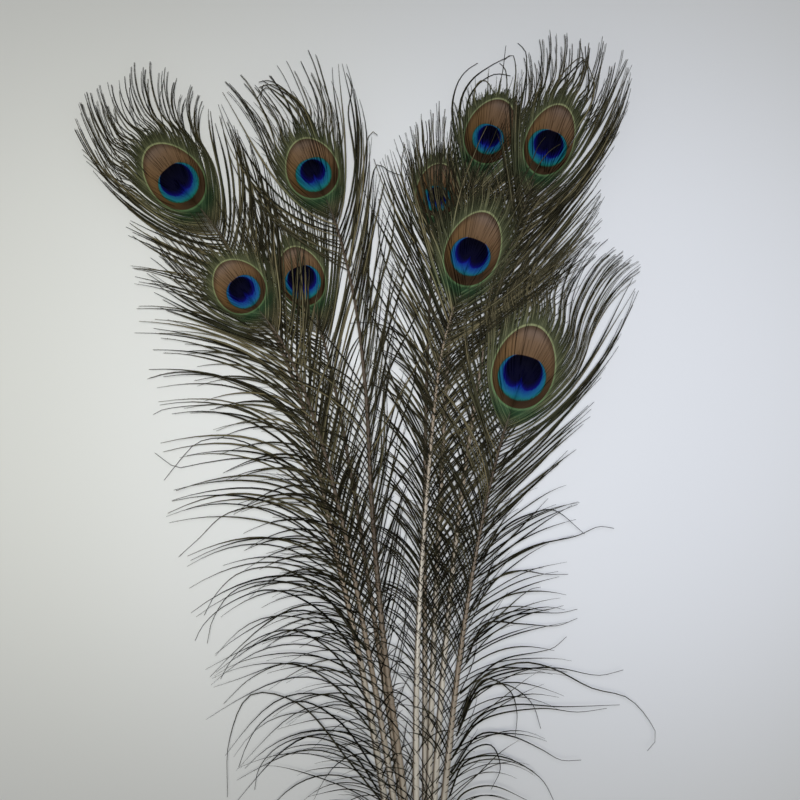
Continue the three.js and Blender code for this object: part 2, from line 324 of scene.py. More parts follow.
@dataclass(frozen=True)
class BarbKeratin:
    """Keratin of the barbs: brown-black with melanin, coloured by fine layers at the eye.

    The loose barbs read as dark olive lines with a paler ridge, partly the pale ramus and partly a
    painted highlight. At the eye the same strands give, from the middle outwards, a navy heart, a
    blue to cyan disc, a bronze oval, a pale green line, and green that fades into the dark.
    """

    name: str = "barb_keratin_structural_colour"
    dark: str = "#12110a"
    olive: str = "#454230"
    brown: str = "#4a4330"
    # The pale ramus, which also serves as a painted highlight along each barb's ridge
    ridge: str = "#716b51"
    tip: str = "#2e2b23"
    halo: str = "#50543c"
    emerald: str = "#2b442c"
    golden: str = "#6f542c"
    deep_blue: str = "#0d1a76"
    black: str = "#020208"
    oval_rim: str = "#3d2d1e"
    pale_line_top: str = "#8a8f67"
    pale_line_foot: str = "#4c6844"
    roughness: float = 0.6
    specular: float = 0.025
    # Patches in which neighbouring barbs catch the light together
    patch_mm: float = 6.0
    # How far the core reaches up, how narrow its notch is, and how wide the blue wells out of it
    core_lift: float = 0.22
    notch_narrowness: float = 7.0
    well_narrowness: float = 2.2
    # The disc is flattened towards the feather's tip, where the core meets the bronze
    flat_top: float = 0.13
    flat_top_narrowness: float = 2.6
    narrowest_ring: float = 0.04
    # How unevenly neighbouring barbs start and end their colours
    unevenness: float = 0.3
    # Where the pale line fades in and out, in the oval's half axes
    pale_line: tuple[float, float, float, float] = (0.965, 0.98, 1.005, 1.035)
    # The darkest barb, and how much lighter the lightest is, beyond the oval and over it
    loose_level: tuple[float, float] = (0.54, 1.8)
    close_level: tuple[float, float] = (0.9, 0.14)
    # How much the ridge is lightened: pale ramus and painted highlight together
    ridge_highlight_share: float = 0.45

    # From the middle of the core out to the disc's edge, for the bluest eye and the greenest
    blue_disc: tuple[tuple[float, str], ...] = (
        (0.0, "#02021a"), (0.25, "#040438"), (0.44, "#090a60"), (0.47, "#0d256b"),
        (0.52, "#15407f"), (0.76, "#194d81"), (0.86, "#185767"), (0.91, "#1d3128"),
    )
    cyan_disc: tuple[tuple[float, str], ...] = (
        (0.0, "#02021a"), (0.25, "#040438"), (0.44, "#090c5c"), (0.47, "#0f346b"),
        (0.52, "#155673"), (0.76, "#17656e"), (0.86, "#186256"), (0.91, "#20402e"),
    )
    # The bronze oval from its foot to its top
    bronze: tuple[tuple[float, str], ...] = (
        (0.0, "#271d12"), (0.22, "#352719"), (0.42, "#4e3a25"), (0.62, "#664f37"),
        (0.8, "#6f5944"), (0.93, "#705f52"), (1.0, "#5c4c3c"),
    )

    def _body_colour(self, tree: bpy.types.NodeTree, along: Any, tone: Any, place: Any) -> Any:
        """The colour of the barbs away from the eye.

        Args:
            tree: The material's node tree.
            along: Socket, 0 at a barb's root and 1 at its tip.
            tone: Socket, a number from 0 to 1 that each barb has of its own.
            place: Socket, object coordinates.

        Returns:
            The colour socket.
        """
        patches = add_node(
            tree, "ShaderNodeTexNoise",
            inputs={"Vector": place, "Scale": 1 / (self.patch_mm * MM), "Detail": 2.0},
        )
        lifted = add_node(
            tree, "ShaderNodeMath", {"operation": "MULTIPLY_ADD"}, {0: tone, 1: 0.9, 2: -0.95},
        )
        summed = add_node(
            tree, "ShaderNodeMath", {"operation": "MULTIPLY_ADD"}, {0: patches, 1: 2.0, 2: lifted},
        )
        olive = add_node(
            tree, "ShaderNodeMix", {"data_type": "RGBA"},
            {0: summed, 6: linear(self.dark), 7: linear(self.olive)}, out=2,
        )
        browner = add_node(
            tree, "ShaderNodeMapRange", {"interpolation_type": "SMOOTHSTEP"},
            {"Value": tone, "From Min": 0.72, "From Max": 1.0, "To Max": 0.8},
        )
        brown = add_node(
            tree, "ShaderNodeMix", {"data_type": "RGBA"},
            {0: browner, 6: olive, 7: linear(self.brown)}, out=2,
        )
        tipped = add_node(
            tree, "ShaderNodeMapRange", {"interpolation_type": "SMOOTHSTEP"},
            {"Value": along, "From Min": 0.7, "From Max": 1.0, "To Max": 0.7},
        )
        return add_node(
            tree, "ShaderNodeMix", {"data_type": "RGBA"},
            {0: tipped, 6: brown, 7: linear(self.tip)}, out=2,
        )

    def _disc_colour(
        self, tree: bpy.types.NodeTree, disc: Any, notch: Any, blueness: Any,
    ) -> tuple[Any, Any]:
        """The colour of the round spot with its heart-shaped core.

        Args:
            tree: The material's node tree.
            disc: Outputs, the place across and along the eye in disc radii, and the core's share.
            notch: Socket, how deep the core is notched at its foot.
            blueness: Socket, 1 for a blue disc and 0 for a cyan one.

        Returns:
            The colour socket, and a socket that is 1 inside the disc.
        """
        flat = add_node(tree, "ShaderNodeCombineXYZ", inputs={0: disc[0], 1: disc[1]})
        out_from_middle = add_node(
            tree, "ShaderNodeVectorMath", {"operation": "LENGTH"}, {0: flat}, out="Value",
        )
        turn = add_node(tree, "ShaderNodeMath", {"operation": "ARCTAN2"}, {0: disc[0], 1: disc[1]})
        upness = add_node(tree, "ShaderNodeMath", {"operation": "COSINE"}, {0: turn})
        unsigned = add_node(tree, "ShaderNodeMath", {"operation": "ABSOLUTE"}, {0: turn})
        from_foot = add_node(tree, "ShaderNodeMath", {"operation": "SUBTRACT"}, {0: math.pi, 1: unsigned})
        squared = add_node(tree, "ShaderNodeMath", {"operation": "MULTIPLY"}, {0: from_foot, 1: from_foot})
        narrowed = add_node(
            tree, "ShaderNodeMath", {"operation": "MULTIPLY"}, {0: squared, 1: -self.notch_narrowness},
        )
        cleft = add_node(tree, "ShaderNodeMath", {"operation": "EXPONENT"}, {0: narrowed})
        bite = add_node(tree, "ShaderNodeMath", {"operation": "MULTIPLY"}, {0: cleft, 1: notch})
        raised = add_node(
            tree, "ShaderNodeMath", {"operation": "MULTIPLY_ADD"}, {0: upness, 1: self.core_lift, 2: 1.0},
        )
        lobed = add_node(tree, "ShaderNodeMath", {"operation": "SUBTRACT"}, {0: raised, 1: bite})
        core_edge = add_node(tree, "ShaderNodeMath", {"operation": "MULTIPLY"}, {0: lobed, 1: disc[2]})
        past_core = add_node(
            tree, "ShaderNodeMath", {"operation": "SUBTRACT"}, {0: out_from_middle, 1: core_edge},
        )
        turned = add_node(tree, "ShaderNodeMath", {"operation": "MULTIPLY"}, {0: turn, 1: turn})
        topness = add_node(
            tree, "ShaderNodeMath", {"operation": "MULTIPLY"}, {0: turned, 1: -self.flat_top_narrowness},
        )
        top = add_node(tree, "ShaderNodeMath", {"operation": "EXPONENT"}, {0: topness})
        disc_edge = add_node(
            tree, "ShaderNodeMath", {"operation": "MULTIPLY_ADD"}, {0: top, 1: -self.flat_top, 2: 1.0},
        )
        gap = add_node(tree, "ShaderNodeMath", {"operation": "SUBTRACT"}, {0: disc_edge, 1: core_edge})
        ring_width = add_node(
            tree, "ShaderNodeMath", {"operation": "MAXIMUM"}, {0: gap, 1: self.narrowest_ring},
        )
        share = add_node(tree, "ShaderNodeMath", {"operation": "DIVIDE"}, {0: past_core, 1: ring_width})
        # Narrow across the eye and long down it, as the barbs are
        barbwise = add_node(tree, "ShaderNodeMapping", inputs={"Vector": flat, "Scale": (14, 1.6, 1)})
        ragged = add_node(
            tree, "ShaderNodeTexNoise", inputs={"Vector": barbwise, "Scale": 1.0, "Detail": 2.0},
        )
        shifted = add_node(
            tree, "ShaderNodeMath", {"operation": "MULTIPLY_ADD"},
            {0: ragged, 1: self.unevenness, 2: -self.unevenness / 2},
        )
        spread = add_node(tree, "ShaderNodeMath", {"operation": "ADD"}, {0: share, 1: shifted})
        place = add_node(
            tree, "ShaderNodeMapRange", inputs={"Value": spread, "From Min": -1.0, "From Max": 1.2},
        )
        blue = fill_ramp(
            add_node(tree, "ShaderNodeValToRGB", inputs={0: place}, out=None), self.blue_disc,
        )
        cyan = fill_ramp(
            add_node(tree, "ShaderNodeValToRGB", inputs={0: place}, out=None), self.cyan_disc,
        )
        ringed = add_node(
            tree, "ShaderNodeMix", {"data_type": "RGBA"}, {0: blueness, 6: cyan, 7: blue}, out=2,
        )
        # Deep blue wells up out of the notch into the ring
        widened = add_node(
            tree, "ShaderNodeMath", {"operation": "MULTIPLY"}, {0: squared, 1: -self.well_narrowness},
        )
        foot = add_node(tree, "ShaderNodeMath", {"operation": "EXPONENT"}, {0: widened})
        inner = add_node(
            tree, "ShaderNodeMapRange", {"interpolation_type": "SMOOTHSTEP"},
            {"Value": spread, "From Min": 0.75, "From Max": 0.05, "To Max": 0.85},
        )
        outer = add_node(
            tree, "ShaderNodeMapRange", {"interpolation_type": "SMOOTHSTEP"},
            {"Value": spread, "From Min": -0.12, "From Max": 0.03},
        )
        well = add_node(tree, "ShaderNodeMath", {"operation": "MULTIPLY"}, {0: foot, 1: inner})
        depth = add_node(tree, "ShaderNodeMath", {"operation": "MULTIPLY"}, {0: well, 1: outer})
        colour = add_node(
            tree, "ShaderNodeMix", {"data_type": "RGBA"},
            {0: depth, 6: ringed, 7: linear(self.deep_blue)}, out=2,
        )
        # The core is blackest towards the tip
        upper = add_node(
            tree, "ShaderNodeMapRange", {"interpolation_type": "SMOOTHSTEP"},
            {"Value": disc[1], "From Min": 0.0, "From Max": 0.8, "To Max": 0.7},
        )
        in_core = add_node(
            tree, "ShaderNodeMapRange", {"interpolation_type": "SMOOTHSTEP"},
            {"Value": spread, "From Min": 0.12, "From Max": -0.06},
        )
        blackened = add_node(tree, "ShaderNodeMath", {"operation": "MULTIPLY"}, {0: upper, 1: in_core})
        shaded = add_node(
            tree, "ShaderNodeMix", {"data_type": "RGBA"},
            {0: blackened, 6: colour, 7: linear(self.black)}, out=2,
        )
        beyond = add_node(
            tree, "ShaderNodeMath", {"operation": "SUBTRACT"}, {0: out_from_middle, 1: disc_edge},
        )
        inside = add_node(
            tree, "ShaderNodeMapRange", {"interpolation_type": "SMOOTHSTEP"},
            {"Value": beyond, "From Min": 0.035, "From Max": -0.01},
        )
        return shaded, inside

    def _oval_colour(self, tree: bpy.types.NodeTree, oval: Any, body: Any, tone: Any) -> Any:
        """The bronze oval, the pale line round it and the green beyond.

        Args:
            tree: The material's node tree.
            oval: Outputs, the place across and along the oval in its half axes, and the blueness.
            body: Socket, the colour that the green fades into.
            tone: Socket, a number from 0 to 1 that each barb has of its own.

        Returns:
            The colour socket.
        """
        # Egg-shaped: narrower towards the top
        swell = add_node(
            tree, "ShaderNodeMath", {"operation": "MULTIPLY_ADD"}, {0: oval[1], 1: -0.1, 2: 1.0},
        )
        across = add_node(tree, "ShaderNodeMath", {"operation": "DIVIDE"}, {0: oval[0], 1: swell})
        flat = add_node(tree, "ShaderNodeCombineXYZ", inputs={0: across, 1: oval[1]})
        reach = add_node(tree, "ShaderNodeVectorMath", {"operation": "LENGTH"}, {0: flat}, out="Value")
        height = add_node(
            tree, "ShaderNodeMapRange", inputs={"Value": oval[1], "From Min": -1.0, "From Max": 1.0},
        )
        bronze = fill_ramp(
            add_node(tree, "ShaderNodeValToRGB", inputs={0: height}, out=None), self.bronze,
        )
        left = add_node(
            tree, "ShaderNodeMapRange", {"interpolation_type": "SMOOTHSTEP"},
            {"Value": across, "From Min": -0.1, "From Max": -0.9, "To Max": 0.35},
        )
        gilded = add_node(
            tree, "ShaderNodeMix", {"data_type": "RGBA"},
            {0: left, 6: bronze, 7: linear(self.golden)}, out=2,
        )
        rim = add_node(
            tree, "ShaderNodeMapRange", {"interpolation_type": "SMOOTHSTEP"},
            {"Value": reach, "From Min": 0.78, "From Max": 0.97, "To Max": 0.7},
        )
        rimmed = add_node(
            tree, "ShaderNodeMix", {"data_type": "RGBA"},
            {0: rim, 6: gilded, 7: linear(self.oval_rim)}, out=2,
        )
        pale = add_node(
            tree, "ShaderNodeMix", {"data_type": "RGBA"},
            {0: height, 6: linear(self.pale_line_foot), 7: linear(self.pale_line_top)}, out=2,
        )
        started = add_node(
            tree, "ShaderNodeMapRange", {"interpolation_type": "SMOOTHSTEP"},
            {"Value": reach, "From Min": self.pale_line[0], "From Max": self.pale_line[1]},
        )
        lined = add_node(
            tree, "ShaderNodeMix", {"data_type": "RGBA"}, {0: started, 6: rimmed, 7: pale}, out=2,
        )
        # Emerald where the barbs leave the shaft below the eye
        low = add_node(
            tree, "ShaderNodeMapRange", {"interpolation_type": "SMOOTHSTEP"},
            {"Value": oval[1], "From Min": -0.65, "From Max": -1.1},
        )
        near = add_node(
            tree, "ShaderNodeMapRange", {"interpolation_type": "SMOOTHSTEP"},
            {"Value": reach, "From Min": 1.5, "From Max": 1.1},
        )
        green = add_node(tree, "ShaderNodeMath", {"operation": "MULTIPLY"}, {0: low, 1: near})
        halo = add_node(
            tree, "ShaderNodeMix", {"data_type": "RGBA"},
            {0: green, 6: linear(self.halo), 7: linear(self.emerald)}, out=2,
        )
        ended = add_node(
            tree, "ShaderNodeMapRange", {"interpolation_type": "SMOOTHSTEP"},
            {"Value": reach, "From Min": self.pale_line[2], "From Max": self.pale_line[3]},
        )
        haloed = add_node(
            tree, "ShaderNodeMix", {"data_type": "RGBA"}, {0: ended, 6: lined, 7: halo}, out=2,
        )
        uneven = add_node(
            tree, "ShaderNodeMath", {"operation": "MULTIPLY_ADD"}, {0: tone, 1: 0.35, 2: reach},
        )
        faded = add_node(
            tree, "ShaderNodeMapRange", {"interpolation_type": "SMOOTHSTEP"},
            {"Value": uneven, "From Min": 1.15, "From Max": 2.05},
        )
        return add_node(
            tree, "ShaderNodeMix", {"data_type": "RGBA"}, {0: faded, 6: haloed, 7: body}, out=2,
        )

    def material(self) -> bpy.types.Material:
        """Builds the material.

        Returns:
            The finished material.
        """
        material, tree = new_material(self.name)
        strand = add_node(tree, "ShaderNodeAttribute", {"attribute_name": "strand"}, out="Vector")
        along, ridge, tone = add_node(tree, "ShaderNodeSeparateXYZ", inputs={0: strand}, out=None).outputs
        disc = add_node(tree, "ShaderNodeAttribute", {"attribute_name": "eye_disc"}, out="Vector")
        disc_parts = add_node(tree, "ShaderNodeSeparateXYZ", inputs={0: disc}, out=None).outputs
        oval = add_node(tree, "ShaderNodeAttribute", {"attribute_name": "eye_oval"}, out="Vector")
        oval_parts = add_node(tree, "ShaderNodeSeparateXYZ", inputs={0: oval}, out=None).outputs
        notch = add_node(tree, "ShaderNodeAttribute", {"attribute_name": "eye_notch"}, out="Fac")
        place = add_node(tree, "ShaderNodeTexCoord", out="Object")

        body = self._body_colour(tree, along, tone, place)
        # The ramus, the stalk of each barb, shows as a paler line along its ridge; the same line is also a
        # painted highlight where light would catch the ridge
        ramus_and_highlight = add_node(
            tree, "ShaderNodeMapRange", {"interpolation_type": "SMOOTHSTEP"},
            {"Value": ridge, "From Min": 0.55, "From Max": 1.0, "To Max": self.ridge_highlight_share},
        )
        with_ramus_and_highlight = add_node(
            tree, "ShaderNodeMix", {"data_type": "RGBA"},
            {0: ramus_and_highlight, 6: body, 7: linear(self.ridge)}, out=2,
        )
        beyond = self._oval_colour(tree, oval_parts, with_ramus_and_highlight, tone)
        spot, inside = self._disc_colour(tree, disc_parts, notch, oval_parts[2])
        coloured = add_node(
            tree, "ShaderNodeMix", {"data_type": "RGBA"}, {0: inside, 6: beyond, 7: spot}, out=2,
        )
        # Each barb is lighter or darker than the next, a little in the oval and much more beyond
        flat = add_node(tree, "ShaderNodeCombineXYZ", inputs={0: oval_parts[0], 1: oval_parts[1]})
        reach = add_node(tree, "ShaderNodeVectorMath", {"operation": "LENGTH"}, {0: flat}, out="Value")
        outside = add_node(
            tree, "ShaderNodeMapRange", inputs={"Value": reach, "From Min": 0.97, "From Max": 1.15},
        )
        cubed = add_node(tree, "ShaderNodeMath", {"operation": "POWER"}, {0: tone, 1: 3.0})
        loose = add_node(
            tree, "ShaderNodeMath", {"operation": "MULTIPLY_ADD"},
            {0: cubed, 1: self.loose_level[1], 2: self.loose_level[0]},
        )
        close = add_node(
            tree, "ShaderNodeMath", {"operation": "MULTIPLY_ADD"},
            {0: tone, 1: self.close_level[1], 2: self.close_level[0]},
        )
        level = add_node(
            tree, "ShaderNodeMix", {"data_type": "FLOAT"}, {0: outside, 2: close, 3: loose}, out=0,
        )
        shade = add_node(tree, "ShaderNodeCombineColor", inputs={0: level, 1: level, 2: level})
        toned = add_node(
            tree, "ShaderNodeMix", {"data_type": "RGBA", "blend_type": "MULTIPLY"},
            {0: 1.0, 6: coloured, 7: shade}, out=2,
        )
        shader = add_node(
            tree, "ShaderNodeBsdfPrincipled",
            inputs={
                "Base Color": toned, "Roughness": self.roughness, "Specular IOR Level": self.specular,
            },
        )
        add_node(tree, "ShaderNodeOutputMaterial", inputs={"Surface": shader}, out=None)
        return material


@dataclass(frozen=True)
class PaintedBoard:
    """A board with flat white paint, rolled on: an even pale ground with no gloss."""

    name: str = "board_painted_flat_white"
    colour: str = "#dfe1e0"
    roughness: float = 0.85

    def material(self) -> bpy.types.Material:
        """Builds the material.

        Returns:
            The finished material.
        """
        material, tree = new_material(self.name)
        shader = add_node(
            tree, "ShaderNodeBsdfPrincipled",
            inputs={"Base Color": linear(self.colour), "Roughness": self.roughness},
        )
        add_node(tree, "ShaderNodeOutputMaterial", inputs={"Surface": shader}, out=None)
        return material


# ---------------------------------------------------------------------------------------------
# Feathers
# ---------------------------------------------------------------------------------------------


class Side(Enum):
    """The two sides of a shaft, seen from above with the eye at the top."""

    LEFT = 1
    RIGHT = -1


@dataclass(frozen=True)
class Eye:
    """A feather's eye. Lengths are in mm, and tilt in degrees, positive to the left."""

    x: float
    y: float
    tilt: float
    disc: float
    core: float
    half_width: float
    half_length: float
    rise: float
    blueness: float
    notch: float

    def places(self, xy: np.ndarray) -> tuple[np.ndarray, np.ndarray]:
        """Where points lie in the eye.

        Args:
            xy: Points in plan, in mm, with the coordinates on the last axis.

        Returns:
            The distances across and along the eye in disc radii, with the core's share third, and
            the same in the oval's half axes, with the blueness third.
        """
        turn = math.radians(self.tilt)
        dx, dy = xy[..., 0] - self.x, xy[..., 1] - self.y
        across = dx * math.cos(turn) + dy * math.sin(turn)
        up = -dx * math.sin(turn) + dy * math.cos(turn)
        same = np.ones_like(up)
        disc = np.stack([across / self.disc, up / self.disc, same * self.core / self.disc], -1)
        oval = np.stack(
            [across / self.half_width, (up - self.rise) / self.half_length, same * self.blueness], -1
        )
        return disc, oval


@dataclass(frozen=True)
class FeatherPlan:
    """What one feather looks like from above, in mm.

    A guide row is the height y where a barb leaves the shaft, the angle in degrees between it and
    the shaft there, and its tip's x and y. The shaft and its eye: pale says how far up the shaft's
    cream colour goes, 1 for the usual reach, and vee is the height where the eye's own barbs begin.

    The loose barbs: fuzz says how many barbules they have, 1 for the usual number, dense how much
    closer they get towards the eye on the left and on the right, and dense_reach how far below the
    eye that starts. cling is the least share by which neighbours close up, ragged how unequal they
    are in length, and tangle how freely they point.

    The eye's barbs: fringe is the share of them that go on beyond the oval, curl how far they sway
    and turn their tips clockwise, as a share of their length, and veil the share of other feathers'
    barbs that lie over the eye.
    """

    name: str
    quill_width: float
    pale: float
    route: tuple[Point, ...]
    eye: Eye
    vee: float
    left: tuple[GuideRow, ...]
    right: tuple[GuideRow, ...]
    strays: tuple[tuple[Point, ...], ...] = ()
    loose_pitch: float = 4.2
    loose_width: float = 0.78
    fuzz: float = 1.0
    dense: tuple[float, float] = (0.5, 0.5)
    dense_reach: float = 50.0
    cling: float = 0.45
    ragged: float = 1.0
    tangle: float = 1.0
    fringe: float = 1.0
    curl: float = 0.0
    veil: float = 0.55


